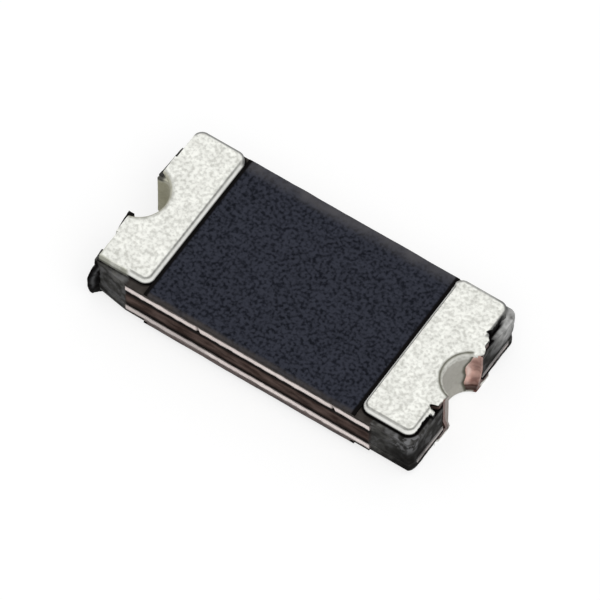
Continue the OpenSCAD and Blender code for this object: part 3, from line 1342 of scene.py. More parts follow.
@dataclass
class Insulation(FaceLayer):
    """The resin over one foil, with feet that fill the foil's level in the end zones."""

    solid: ClassVar[str] = "insulation"
    finish: ClassVar[str] = "resin"
    stub: Stub
    lands: dict[End, Land]
    burrs: tuple[Burr, ...] = ()
    thickness: float = 0.025 * MM
    roughness: float = 0.006 * MM
    cell: float = 0.08 * MM
    dark_foot: float = 0.15 * MM
    foot_full: float = 0.7
    foot_cover: float = 0.9
    # Painted shadow on the plate round the pads:
    contact_shadow: float = 0.008 * MM
    contact_shadow_blend: float = 0.014 * MM
    flare: float = 0.006 * MM
    flare_full: float = 0.8
    flare_blend: float = 0.1 * MM
    edge_cover: float = 0.8
    ledge_cover: float = 0.75
    smear: float = 0.012 * MM
    smear_cover: float = 0.5
    # Where that painted shadow is lifted: the far right corner with its painted sheen and the
    # trimmed near left.
    lit_corner_y: Span = (0.6 * MM, 0.7 * MM)
    lit_corner_lift: float = 0.9
    trimmed_y: Span = (-0.68 * MM, -0.74 * MM)
    trimmed_light: float = 0.45
    burr_patches: Patches = Patches(0.0, 1.0, 0.09 * MM, Seed.BURR)
    burr_share: Span = (-0.3, 0.15)
    burr_cover: Span = (0.35, 0.6)
    border: float = 1e-8
    corner_step: float = 1e-7
    plate_rows: int = 260
    plate_columns: int = 52
    levels: int = 5
    burr_levels: int = 10

    @property
    def foil(self) -> tuple[Vector, Vector]:
        """Box of the foil that the resin covers."""
        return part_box(f"{self.face.label}_electrode")

    def push(self, points: Array) -> Array:
        """Return the rough cut's outward shift: noise, the corner's bulge and the low flare."""
        x, z = points[..., 0], points[..., 2]
        right = fade(x, self.plan.foil_right_x, self.plan.foil_right_x + self.flare_blend)
        low = fade(z, self.dark_foot, self.flare_full * self.dark_foot)
        rough = self.roughness * fractal_noise(points, self.cell, Seed.RESIN)
        return rough + self.plan.bulge(points) + self.flare * right * low

    def tint(self, points: Array) -> Array:
        """Give the long cut edges their brown, lightened by painted light on the low face, and the
        end zones their coats and dark foot.
        """
        foil_low, foil_high = self.foil
        zone, z = self.plan.end_zone_share(points), points[..., 2]
        upper = self.face is Face.UPPER
        # The low face's brown is painted lighter, as painted light against the shade near the
        # floor.
        brown = EDGE_BROWN if upper else LIT_LOW_BROWN
        tints = paint(clear(points), brown, self.edge_cover * (1 - zone))
        above_foil = z - foil_high.z if upper else foil_low.z - z
        smear = self.smear_cover * fade(above_foil, self.smear, 0) * (1 - zone)
        tints = self.plan.end_zone_coats(paint(tints, FOIL_SMEAR, smear), points)
        foot = zone * fade(z, self.dark_foot, self.foot_full * self.dark_foot)
        return paint(tints, BLACK, self.foot_cover * foot)

    def burr_shell(self, burr: Burr, low: float, high: float) -> Shell:
        """Sweep a burr's wedge-shaped plan, widest beside the notch, between two heights."""
        end, half = self.plan.end_x, burr.length / 2
        side = math.copysign(1, burr.middle)
        outline = np.array(
            [
                (-end + burr.reach, -half),
                (-end + burr.reach, half),
                (-end - burr.reach / 4, half),
                (-end - burr.reach, -half),
            ]
        )
        outline = outline * (1, side) + (0, burr.middle)
        path = subdivided(outline if side > 0 else outline[::-1], self.plan.outline_step)
        top = high - burr.drop
        return swept_layer(path, low, top, self.burr_levels, self.push, self.burr_tint)

    def burr_tint(self, points: Array) -> Array:
        """Blacken a burr by a least cover and, in patches, a further one."""
        least, spread = self.burr_cover
        spots = fade(self.burr_patches.at(points), *self.burr_share)
        return paint(clear(points), BLACK, least + spread * spots)

    def end_plate(self, end: End, low: float, high: float) -> Shell:
        """Rule a grid over one end of the plate, with painted shadow where it meets the pad.

        Rows run outwards from the pad's inner edge to the cut end or the drilled wall.

        Args:
            end: Which end.
            low: Height of its lower face.
            high: Height of its upper face.

        Returns:
            The closed shell.
        """
        plan, land = self.plan, self.lands[end]
        limit = plan.half_width - self.border
        path_y = plan.end_zone(end)[:, 1]
        even = np.linspace(-limit, limit, self.plate_rows)
        steps = merged([even, path_y, path_y + self.corner_step], -limit, limit)
        edge = plan.end_edge(end, steps)
        edge = edge + self.push(placed(end.value * edge, steps, high))
        x = land.inner + (edge - land.inner)[:, None] * eased(self.plate_columns)
        y = np.repeat(steps[:, None], self.plate_columns, axis=1)
        front, back = placed(end.value * x, y, high), placed(end.value * x, y, low)
        outside = -land.rim_distance(x, y)
        # Painted shadow round the pad, lifted at the far right and the trimmed near left corners.
        dark = fade(outside, self.contact_shadow + self.contact_shadow_blend, self.contact_shadow)
        lit_corner = plan.bulge_and_sheen_share(front) * fade(y, *self.lit_corner_y)
        dark = dark * (1 - self.lit_corner_lift * lit_corner)
        if end is End.LEFT:
            dark = dark * (1 - self.trimmed_light * fade(y, *self.trimmed_y))
        ledge = self.ledge_cover * (1 - plan.end_zone_share(front))
        tints = plan.end_zone_coats(paint(clear(front), LEDGE_BROWN, ledge), front)
        return slab(front, back, paint(tints, BLACK, dark))

    def build(self) -> bpy.types.Object:
        """Build the plate, its feet, any burrs and its part of the stub."""
        plan = self.plan
        foil_low, foil_high = self.foil
        upper = self.face is Face.UPPER
        covered, bare = (End.LEFT, End.RIGHT) if upper else (End.RIGHT, End.LEFT)
        low = foil_high.z if upper else foil_low.z - self.thickness
        high = low + self.thickness
        left, right = -self.lands[End.LEFT].inner, self.lands[End.RIGHT].inner
        half = plan.half_width
        middle = np.array([(left, -half), (right, -half), (right, half), (left, half)])
        paths = [(middle, low, high)]
        feet = [plan.end_zone(bare), *plan.side_feet(covered)]
        paths += [(foot, foil_low.z, foil_high.z) for foot in feet]
        shells = [
            swept_layer(
                subdivided(path, plan.outline_step), *heights, self.levels, self.push, self.tint
            )
            for path, *heights in paths
        ]
        shells += [self.end_plate(end, low, high) for end in End]
        top = plan.height - plan.tin_thickness
        shells += [self.burr_shell(burr, foil_low.z, top) for burr in self.burrs]
        stub_low = foil_low.z if upper else low - self.stub.droop
        shells.append(self.stub.shell(stub_low, high if upper else foil_high.z))
        return make_piece(f"{self.face.label}_resin", shells)


@dataclass
class MaskCoat(FaceLayer):
    """The dark coat between the pads of one face."""

    solid: ClassVar[str] = "mask"
    finish: ClassVar[str] = "mask_coat"
    edge_radius: float = 0.012 * MM
    grain: float = 0.0012 * MM
    grain_cell: float = 0.03 * MM
    waviness: float = 0.005 * MM
    wave_cell: float = 0.25 * MM
    # Painted shadow on the coat beside the pads:
    pad_shadow_gap: float = 0.025 * MM
    pad_shadow_blend: float = 0.018 * MM
    overhang: float = 0.0
    near_colour: Rgb = EDGE_BROWN
    near_band: float = 0.055 * MM
    near_cover: float = 0.85
    far_band: float = 0.15 * MM
    band_full: float = 0.2
    band_patches: Patches = Patches(0.75, 0.5, 0.12 * MM, Seed.MASK_BANDS)
    least_rise: float = 0.1
    edge_power: int = 5
    columns: int = 210
    rows: int = 160

    def tint(self, points: Array) -> Array:
        """Paint shadow on the coat beside the pads, and tint it brown and grey along its long
        edges.
        """
        low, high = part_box(self.node)
        x, y = points[..., 0], points[..., 1]
        gap = np.minimum(x - low.x, high.x - x)
        patchy = self.band_patches.at(points)
        near = fade((y - low.y) / self.near_band, 1, self.band_full)
        far = fade((high.y - y) / self.far_band, 1, self.band_full)
        tints = paint(clear(points), self.near_colour, self.near_cover * patchy * near)
        tints = paint(tints, EDGE_GREY, patchy * far)
        # Painted shadow: black beside the pads.
        return paint(tints, BLACK, fade(gap, self.pad_shadow_gap + self.pad_shadow_blend, self.pad_shadow_gap))

    def build(self) -> bpy.types.Object:
        """Lay a grid over the coat, rounded down to its long edges, and close it below.

        The height is the top less a quarter-circle drop near the long edges, plus fine noise.
        """
        low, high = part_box(self.node)
        x_steps = low.x + (high.x - low.x) * eased(self.columns)
        y_steps = low.y + (high.y - low.y) * eased(self.rows)
        y, x = np.meshgrid(y_steps, x_steps, indexing="ij")
        flat = placed(x, y, 0.0)
        half, radius, depth = (high.y - low.y) / 2, self.edge_radius, high.z - low.z
        inside = np.clip(half - np.abs(y), 0, radius)
        drop = radius - np.sqrt(radius**2 - (radius - inside) ** 2)
        relief = self.grain * fractal_noise(flat, self.grain_cell, Seed.MASK_GRAIN)
        rise = np.clip(depth - drop + relief, self.least_rise * depth, None)
        waves = self.waviness * fractal_noise(flat, self.wave_cell, Seed.MASK_EDGE)
        y = y + (y / half) ** self.edge_power * (self.overhang + waves)
        if self.face is Face.UPPER:
            outer, inner = low.z + rise, low.z
        else:
            outer, inner = high.z - rise, high.z
        shell = slab(placed(x, y, outer), placed(x, y, inner), self.tint(flat))
        return make_piece(f"{self.face.label}_coat", [shell])


@dataclass(frozen=True)
class PadShade:
    """How the tin of a pad is stained and given painted highlight and shade, in its end's own
    coordinates.

    A span runs from where a coat begins to where it is full. A cover is a coat's strength, or
    its least strength and what the patches add. The crease's place is a share of the slope, the
    far edge's span of the far rim, and the lip's span and the ring's middle and width of the lip.
    """

    patches: Patches = Patches(0.5, 0.6, 0.06 * MM, Seed.PAD_RIM)
    # Painted highlight on the sloped rim:
    highlight_edge: Span = (0.026 * MM, 0.019 * MM)
    highlight_least: float = 0.4
    crease_place: float = 0.8
    crease_width: float = 0.006 * MM
    crease_cover: Span = (0.6, 0.4)
    cut_y: Span = (0.3 * MM, 0.5 * MM)
    far_edge: Span = (1.0, 0.5)
    # Painted shade: black on the right pad's far outer corner.
    corner_x: Span = (1.35 * MM, 1.5 * MM)
    corner_cover: float = 0.55
    stain_edge: Span = (0.03 * MM, 0.004 * MM)
    stain_cover: Span = (0.1, 1.5)
    # Where the painted shadow at the foot is left off and lifted:
    lit_corner_y: Span = (0.64 * MM, 0.7 * MM)
    trimmed_light: float = 0.45
    # Painted shadow at the pad's foot and along the right pad's outer border:
    foot_height: Span = (0.036 * MM, 0.02 * MM)
    border_edge: Span = (0.004 * MM, 0.001 * MM)
    border_y: Span = (0.3 * MM, 0.36 * MM)
    lip_span: Span = (0.8, 0.4)
    ring_span: Span = (0.85, 0.5)
    bare_reach: Span = (0.1 * MM, 0.05 * MM)
    # Painted shade over the copper pads, whose edges lie in shade:
    copper_shade_cover: float = 0.85


@dataclass(frozen=True)
class WallShade:
    """How the wall of a notch is torn, stained, and given painted shade and highlight, with angles
    in degrees round its axis.

    A span runs from where a coat begins to where it is full. The highlight angle is the middle
    and the width of the bell curve of the painted highlight beside the torn edge. A cover is a
    coat's strength.
    """

    tear_low: float = 0.3
    tear_wander: float = 4.0
    tear_cell: float = 0.12 * MM
    swell_angle: float = 26.0
    swell_out: float = 0.3
    # Depth over which the wall's painted shade deepens below the rim.
    rim_depth: Span = (0.03 * MM, 0.06 * MM)
    jamb_angle: Span = (4.0, 1.0)
    jamb_cover: float = 0.7
    shelf_angle: Span = (16.0, 8.0)
    shelf_depth: Span = (0.05 * MM, 0.02 * MM)
    shelf_cover: float = 0.85
    # Painted shade along the torn edge:
    torn_angle: Span = (9.0, 2.0)
    torn_cover: float = 0.9
    copper_jamb_cover: float = 0.8
    copper_patches: Patches = Patches(0.6, 1.2, 0.07 * MM, Seed.BARE_COPPER)
    # Painted highlight beside the torn edge:
    highlight_angle: Span = (6.0, 4.0)
    dull_angle: Span = (9.0, 22.0)
    dull_cover: float = 0.4
    foot_z: Span = (0.14 * MM, 0.05 * MM)
    foot_cover: float = 0.7


@dataclass
class Terminal:
    """One plated end: copper pads joined by a half-round wall, under a coat of tin."""

    plan: ChipPlan
    end: End
    margin: float
    ragged: float
    # Colour and strength of the painted shade on the notch's wall and lip.
    wall_shade_tint: tuple[Rgb, float]
    outer_corner: Span = (0.09 * MM, 0.09 * MM)
    tears: tuple[Tear, ...] = ()
    bare_angles: Span | None = None
    bare_blend: Span = (4.0, -2.0)
    jamb_swell: float = 0.0
    # Strength of the olive ring of painted shade round the notch.
    ring: float = 0.7
    far_rim: float = 0.032 * MM
    # Strength of the painted shade on the steep far rim.
    far_rim_shade: float = 0.75
    coat_swell: float = 0.0
    # Painted shade on the lip and, less, at the top of the wall:
    lip_shade: float = 0.75
    wall_top_shade: float = 0.7
    tin_lumps: float = 0.0015 * MM
    copper_lumps: float = 0.005 * MM
    low_tear: float = 0.025 * MM
    corner: float = 0.09 * MM
    slope: float = 0.036 * MM
    cut_slope: float = 0.006 * MM
    wall_share: float = 0.25
    lip: float = 0.03 * MM
    grain: float = 0.0018 * MM
    grain_cell: float = 0.04 * MM
    lump_cell: float = 0.05 * MM
    least_tin: float = 0.2
    least_copper: float = 0.1
    copper_tear: float = 0.5
    low_ragged: float = 0.2
    trim_blend: float = 0.05 * MM
    trim_y: Span = (-0.5 * MM, -0.6 * MM)
    cut_x: Span = (-0.17 * MM, -0.11 * MM)
    cut_y: Span = (0.36 * MM, 0.42 * MM)
    far_y: Span = (-0.11 * MM, -0.06 * MM)
    collar_width: float = 0.145 * MM
    pad_shade: PadShade = PadShade()
    wall_shade: WallShade = WallShade()
    rows: int = 190
    columns: int = 72
    wall_rows: int = 44
    wall_columns: int = 96

    @property
    def levels(self) -> tuple[float, float]:
        """Heights of the resin under the upper pad and of the pad's top."""
        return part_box("upper_mask")[0].z, self.plan.height

    def land(
        self, inset: float, bore: float, face: Face = Face.UPPER, tear_growth: float = 0.0
    ) -> Land:
        """Lay out the pad's plan, shrunk by inset.

        Args:
            inset: Distance inside the tin's own outline.
            bore: Radius of its notch wall.
            face: The face it lies on; the lower one is less ragged.
            tear_growth: How much deeper and wider its tears are than the tin's.

        Returns:
            The plan.
        """
        low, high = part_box(f"{self.end.label}_tin_coat")
        plan = self.plan
        upper = face is Face.UPPER
        limits = (-self.corner, self.corner) if upper else (0.0, self.low_tear)
        tears = [
            Tear(t.y, t.width + tear_growth, tear_growth + float(np.clip(t.depth, *limits)))
            for t in self.tears
        ]
        near_corner, far_corner = (max(radius - inset, inset / 4) for radius in self.outer_corner)
        return Land(
            plan=plan,
            inner=min(abs(low.x), abs(high.x)) + inset,
            outer=plan.end_x - self.margin - inset,
            middle=(low.y + high.y) / 2,
            half_width=(high.y - low.y) / 2 - inset,
            corner=self.corner - inset,
            outer_corner=(near_corner, far_corner),
            collar=plan.drill_radius + self.collar_width - inset,
            bore=bore,
            tears=tuple(tears),
            ragged=self.ragged * (1.0 if upper else self.low_ragged),
            seed=self.end.value,
        )

    @property
    def outline(self) -> Land:
        """The plan of the upper tin pad."""
        return self.land(0.0, self.plan.notch_radius)

    def narrowing(self, z: Array | float) -> Array:
        """Return how much the foot or the thick tin narrows the notch at each height."""
        return np.maximum(self.plan.foot_inset(z), self.coat_swell)

    def near_cut(self, x: Array, y: Array) -> Array:
        """Return 1 where the trim took the left pad's near rim off, and 0 elsewhere."""
        if self.end is End.RIGHT:
            return np.zeros_like(x)
        trimmed = fade(x + self.plan.foil_left_x, 0, self.trim_blend)
        return trimmed * fade(y, *self.trim_y)

    def outer_cut(self, x: Array, y: Array) -> Array:
        """Return 1 where a cut took the outer rim off: all along on the left, far on the right."""
        outer = fade(x - self.plan.end_x, *self.cut_x)
        return outer if self.end is End.LEFT else outer * fade(y, *self.cut_y)

    def far_share(self, y: Array) -> Array:
        """Return 1 along the far rim, which is steep, and 0 elsewhere."""
        return fade(y - self.outline.far_y, *self.far_y)

    def steep_share(self, x: Array, y: Array) -> Array:
        """Return 1 where the rim stands steep and 0 where it slopes."""
        return np.max([self.near_cut(x, y), self.outer_cut(x, y), self.far_share(y)], axis=0)

    def plated_share(self, x: Array, y: Array) -> Array:
        """Return 1 beside the notch where its wall is tinned and 0 where it is bare."""
        if self.bare_angles is None:
            return np.ones_like(x)
        _, high = self.bare_angles
        angle = np.degrees(np.arctan2(y, self.plan.notch_x - x))
        return fade(angle - high, *self.bare_blend)

    def rise(self, distance: Array, slope: Array | float) -> Array:
        """Return the share of the pad's height: a low wall and then a straight slope."""
        share = np.clip(distance / slope, 0, 1)
        return self.wall_share + (1 - self.wall_share) * share

    def lip_drop(self, distance: Array) -> Array:
        """Return the quarter-circle drop towards the notch."""
        inside = np.clip(distance, 0, self.lip)
        return self.lip - np.sqrt(self.lip**2 - (self.lip - inside) ** 2)

    def copper_height(self, edge: Array) -> Array:
        """Return the copper's height at a distance inside the tin's edge."""
        base, top = self.levels
        thickness = top - base - self.plan.tin_thickness
        inside = edge - self.plan.tin_thickness
        return np.where(inside > 0, thickness * self.rise(inside, self.slope), 0.0)

    def pad_tints(self, points: Array, land: Land, height: Array, face: Face) -> Array:
        """Shade a pad: its rim, then its foot on the upper face, then the lip of its notch.

        Args:
            points: The pad's points of shape (rows, columns, 3).
            land: The pad's plan.
            height: Height of the points over the resin.
            face: The face it lies on.

        Returns:
            The tints of the points.
        """
        x, y = points[..., 0], points[..., 1]
        edge, bore = land.rim_distance(x, y), land.bore_distance(x, y)
        tints = self.rim_tints(points, edge, bore)
        if face is Face.UPPER:
            tints = self.foot_tints(tints, points, height, bore)
        return self.lip_tints(tints, points, bore, face)

    def rim_tints(self, points: Array, edge: Array, bore: Array) -> Array:
        """Shade the rim: a painted highlight on the slope, its crease, painted shade on the grey
        far rim and the stained cut.

        Args:
            points: The pad's points.
            edge: Their distance inside the rim.
            bore: Their distance outside the notch's wall.

        Returns:
            The tints of the points.
        """
        shade, right = self.pad_shade, self.end is End.RIGHT
        x, y = points[..., 0], points[..., 1]
        patchy = shade.patches.at(points)
        sloped = (1 - self.steep_share(x, y)) * fade(bore, self.lip, 2 * self.lip)
        # Painted highlight on the slope.
        band = sloped * fade(edge, *shade.highlight_edge)
        tints = paint(clear(points), TIN_HIGHLIGHT, band * (shade.highlight_least + patchy))
        crease = sloped * bell(edge, shade.crease_place * self.slope, shade.crease_width)
        least, spread = shade.crease_cover
        tints = paint(tints, CREASE_GREY, crease * (least + spread * patchy))
        # Painted shade on the steep far rim and, on the right, its outer cut and dark corner.
        cut = self.outer_cut(x, y) * fade(y, *shade.cut_y) * right
        back = np.maximum(self.far_share(y), cut) * fade(edge / self.far_rim, *shade.far_edge)
        tints = paint(tints, RIM_SHADE, self.far_rim_shade * back)
        corner = fade(x, *shade.corner_x) * right
        tints = paint(tints, BLACK, shade.corner_cover * corner * back)
        end_zone_coats = self.near_cut(x, y) * fade(edge, *shade.stain_edge)
        least, spread = shade.stain_cover
        return paint(tints, STAIN, end_zone_coats * (least + spread * patchy))

    def foot_tints(self, tints: Array, points: Array, height: Array, bore: Array) -> Array:
        """Paint shadow black on the upper pad's foot, less where it is trimmed and not at the far
        right corner.

        Args:
            tints: Tints of the points.
            points: The pad's points.
            height: Their height over the resin.
            bore: Their distance outside the notch's wall.

        Returns:
            The new tints.
        """
        shade, right = self.pad_shade, self.end is End.RIGHT
        x, y = points[..., 0], points[..., 1]
        away = fade(bore, 0, self.lip) * (1 - fade(y, *shade.lit_corner_y) * right)
        away = away * (1 - shade.trimmed_light * self.near_cut(x, y))
        # Painted shadow: the pad's foot and the right pad's outer border go black.
        tints = paint(tints, BLACK, away * fade(height, *shade.foot_height))
        border = away * fade(x[:, -1:] - x, *shade.border_edge) * right
        return paint(tints, BLACK, border * fade(np.abs(y), *shade.border_y))

    def lip_tints(self, tints: Array, points: Array, bore: Array, face: Face) -> Array:
        """Paint shade on the notch's lip, ring it with olive painted shade and bare it below where
        the tin is torn.

        Args:
            tints: Tints of the points.
            points: The pad's points.
            bore: Their distance outside the notch's wall.
            face: The face that the pad lies on.

        Returns:
            The new tints.
        """
        shade = self.pad_shade
        colour, strength = self.wall_shade_tint
        plated = self.plated_share(points[..., 0], points[..., 1])
        # Painted shade on the lip, in the wall's colour.
        wall_shade_cover = self.lip_shade * strength * fade(bore / self.lip, *shade.lip_span)
        tints = paint(tints, colour, wall_shade_cover * plated)
        # Painted shade: an olive ring where the pad rounds into the notch.
        ring = self.ring * bell(bore / self.lip, *shade.ring_span)
        tints = paint(tints, OLIVE_SHADE, ring * plated)
        bare = (1 - plated) * fade(bore, *shade.bare_reach) * (face is Face.LOWER)
        return paint(tints, TORN_COPPER, bare)

    def tin_pad(self, face: Face) -> Shell:
        """Shape the tin of a pad as a coat over the copper's sloped edges.

        The outer grid is the pad's height times the slope's rise, less the lip's drop at the
        notch, plus grain. The inner grid is the copper's own height.

        Args:
            face: The face it lies on, which gives the notch's radius there.

        Returns:
            The shell, drawn for the upper right.
        """
        plan = self.plan
        base, top = self.levels
        level = self.lip if face is Face.LOWER else plan.height
        land = self.land(0.0, plan.notch_radius - self.narrowing(level), face)
        x, y = land.grid(self.rows, self.columns)
        edge, bore = land.rim_distance(x, y), land.bore_distance(x, y)
        flat = placed(x, y, base)
        slope = self.slope + (self.cut_slope - self.slope) * self.steep_share(x, y)
        seed = Seed.TIN_GRAIN + self.end.value
        relief = self.grain * fractal_noise(flat, self.grain_cell, seed)
        relief = relief * np.clip(edge / self.slope, 0, 1)
        height = (top - base) * self.rise(edge, slope) - self.lip_drop(bore) + relief
        least = self.least_tin * plan.tin_thickness
        inner = np.minimum(self.copper_height(edge), height - least)
        tints = self.pad_tints(flat, land, height, face)
        return slab(placed(x, y, base + height), placed(x, y, base + inner), tints)

    def copper_pad(self, face: Face) -> Shell:
        """Shape the copper of a pad with the same sloped edges, flat on the resin and nearly black
        with painted shade.
        """
        plan, thin = self.plan, self.plan.tin_thickness
        base, _ = self.levels
        foot = plan.foot_inset(thin) if face is Face.LOWER else 0.0
        land = self.land(thin, plan.copper_bore - foot, face, self.copper_tear * thin)
        x, y = land.grid(self.rows // 2, self.columns // 2)
        height = self.copper_height(land.rim_distance(x, y) + thin)
        front = placed(x, y, base + np.maximum(height, self.least_copper * thin))
        # Painted shade: the copper pads are nearly black.
        cover = np.full_like(x, self.pad_shade.copper_shade_cover)
        return slab(front, placed(x, y, base), paint(clear(front), BLACK, cover))

    def on_faces(self, pad: Callable[[Face], Shell]) -> list[Shell]:
        """Return the pads of both faces, turned to this end."""
        sign = self.end.value
        return [
            pad(Face.UPPER).moved((sign, 1, 1)),
            pad(Face.LOWER).moved((sign, 1, -1), (0, 0, self.plan.height)),
        ]

    def torn_edge(self, heights: Array, half: Array) -> Array:
        """Return the angle at which the tin's wall ends on the far side, at each height."""
        if self.bare_angles is None:
            return half
        low, high = self.bare_angles
        shade = self.wall_shade
        bend = ((heights / self.plan.height - shade.tear_low) / (1 - shade.tear_low)) ** 2
        wander = fractal_noise(placed(0.0, 0.0, heights), shade.tear_cell, Seed.TORN_TIN)
        return low + (high - low) * bend + shade.tear_wander * wander

    def wall_grid(
        self, radius: float, inset: float, torn: bool, tinned: bool = False
    ) -> tuple[Array, Array, Array]:
        """Bend a grid round the notch's axis, from jamb to jamb, narrowed by its foot.

        Args:
            radius: Radius of the grid above the foot.
            inset: Distance of its rims from the chip's faces.
            torn: Whether it stops at the tin's torn edge.
            tinned: Whether it is the tin's face, which is smoother and may swell.

        Returns:
            Points of shape (rows, columns, 3), their angles in degrees, and each row's last.
        """
        plan, shade = self.plan, self.wall_shade
        heights = np.linspace(inset, plan.height - inset, self.wall_rows)
        inset_at = self.narrowing if tinned else plan.foot_inset
        radii = (radius - inset_at(heights))[:, None]
        half = plan.opening_angle(radii[:, 0])
        last = self.torn_edge(heights, half) if torn else half
        half, last, z = half[:, None], last[:, None], heights[:, None]
        degrees = -half + (last + half) * np.linspace(0, 1, self.wall_columns)
        angles = np.radians(degrees)
        lumps = self.tin_lumps if tinned else self.copper_lumps
        curve = placed(0.0, radii * angles, z)
        rough = radii + lumps * fractal_noise(curve, self.lump_cell, Seed.NOTCH_WALL)
        x = np.minimum(plan.notch_x - rough * np.cos(angles), plan.end_x)
        swell = self.jamb_swell if tinned else 0.0
        share = fade(degrees, last - shade.swell_angle, last)
        x = x + shade.swell_out * swell * share
        rough = rough - np.maximum(swell - plan.foot_inset(z), 0) * share
        return placed(x, rough * np.sin(angles), z), degrees, last

    def tin_wall(self) -> Shell:
        """Shape the tin's wall, darker than the pads with painted shade that lightens at its rim,
        and dark where torn.
        """
        plan, shade = self.plan, self.wall_shade
        front, degrees, last = self.wall_grid(plan.notch_radius, self.lip, True, True)
        back, _, _ = self.wall_grid(plan.copper_bore, self.lip, True)
        colour, strength = self.wall_shade_tint
        depth = plan.height - self.lip - front[..., 2]
        top = self.wall_top_shade
        # Painted shade: the wall darkens with depth below its rim.
        wall_shade_cover = strength * (top + (1 - top) * fade(depth, *shade.rim_depth))
        tints = paint(clear(front), colour, wall_shade_cover)
        jamb = fade(degrees - degrees[:, :1], *shade.jamb_angle)
        tints = paint(tints, CUT_PLATING, shade.jamb_cover * jamb)
        if self.jamb_swell > 0:
            shelf = fade(last - degrees, *shade.shelf_angle) * fade(depth, *shade.shelf_depth)
            tints = paint(tints, BLACK, shade.shelf_cover * shelf)
        if self.bare_angles is not None:
            # Painted shade: a dark olive line along the tin's torn edge.
            torn = fade(last - degrees, *shade.torn_angle)
            tints = paint(tints, OLIVE_SHADE, shade.torn_cover * torn)
        return slab(front, back, tints).moved((self.end.value, 1, 1))

    def copper_wall(self) -> Shell:
        """Shape the copper's wall, with a painted highlight beside the torn tin and darker at the
        jambs.
        """
        plan, shade = self.plan, self.wall_shade
        front, degrees, last = self.wall_grid(plan.copper_bore, plan.tin_thickness, False)
        back, _, _ = self.wall_grid(plan.drill_radius, plan.tin_thickness, False)
        jamb = fade(degrees + last, *shade.jamb_angle)
        tints = paint(clear(front), DARK_COPPER, shade.copper_jamb_cover * jamb)
        if self.bare_angles is not None:
            beyond = degrees - self.torn_edge(front[:, 0, 2], last[:, 0])[:, None]
            tints = paint(tints, DARK_COPPER, shade.dull_cover * fade(beyond, *shade.dull_angle))
            # Painted highlight beside the torn edge, in patches.
            highlight = shade.copper_patches.at(front) * bell(beyond, *shade.highlight_angle)
            tints = paint(tints, COPPER_HIGHLIGHT, highlight)
        foot = shade.foot_cover * fade(front[..., 2], *shade.foot_z)
        return slab(front, back, paint(tints, DARK_COPPER, foot)).moved((self.end.value, 1, 1))

    def build(self) -> tuple[bpy.types.Object, bpy.types.Object]:
        """Build the copper and the tin, each with two pads and a wall."""
        copper = [*self.on_faces(self.copper_pad), self.copper_wall()]
        tin = [*self.on_faces(self.tin_pad), self.tin_wall()]
        name = self.end.label
        return make_piece(f"{name}_copper", copper), make_piece(f"{name}_tin", tin)

    def dress(self, pieces: tuple[Any, Any], materials: dict[str, Any]) -> None:
        """Give the copper and the tin their finishes."""
        copper, tin = pieces
        finish_piece(copper, f"{self.end.label}_copper_plating", "copper", materials)
        finish_piece(tin, f"{self.end.label}_tin_coat", "tin", materials)


# The studio


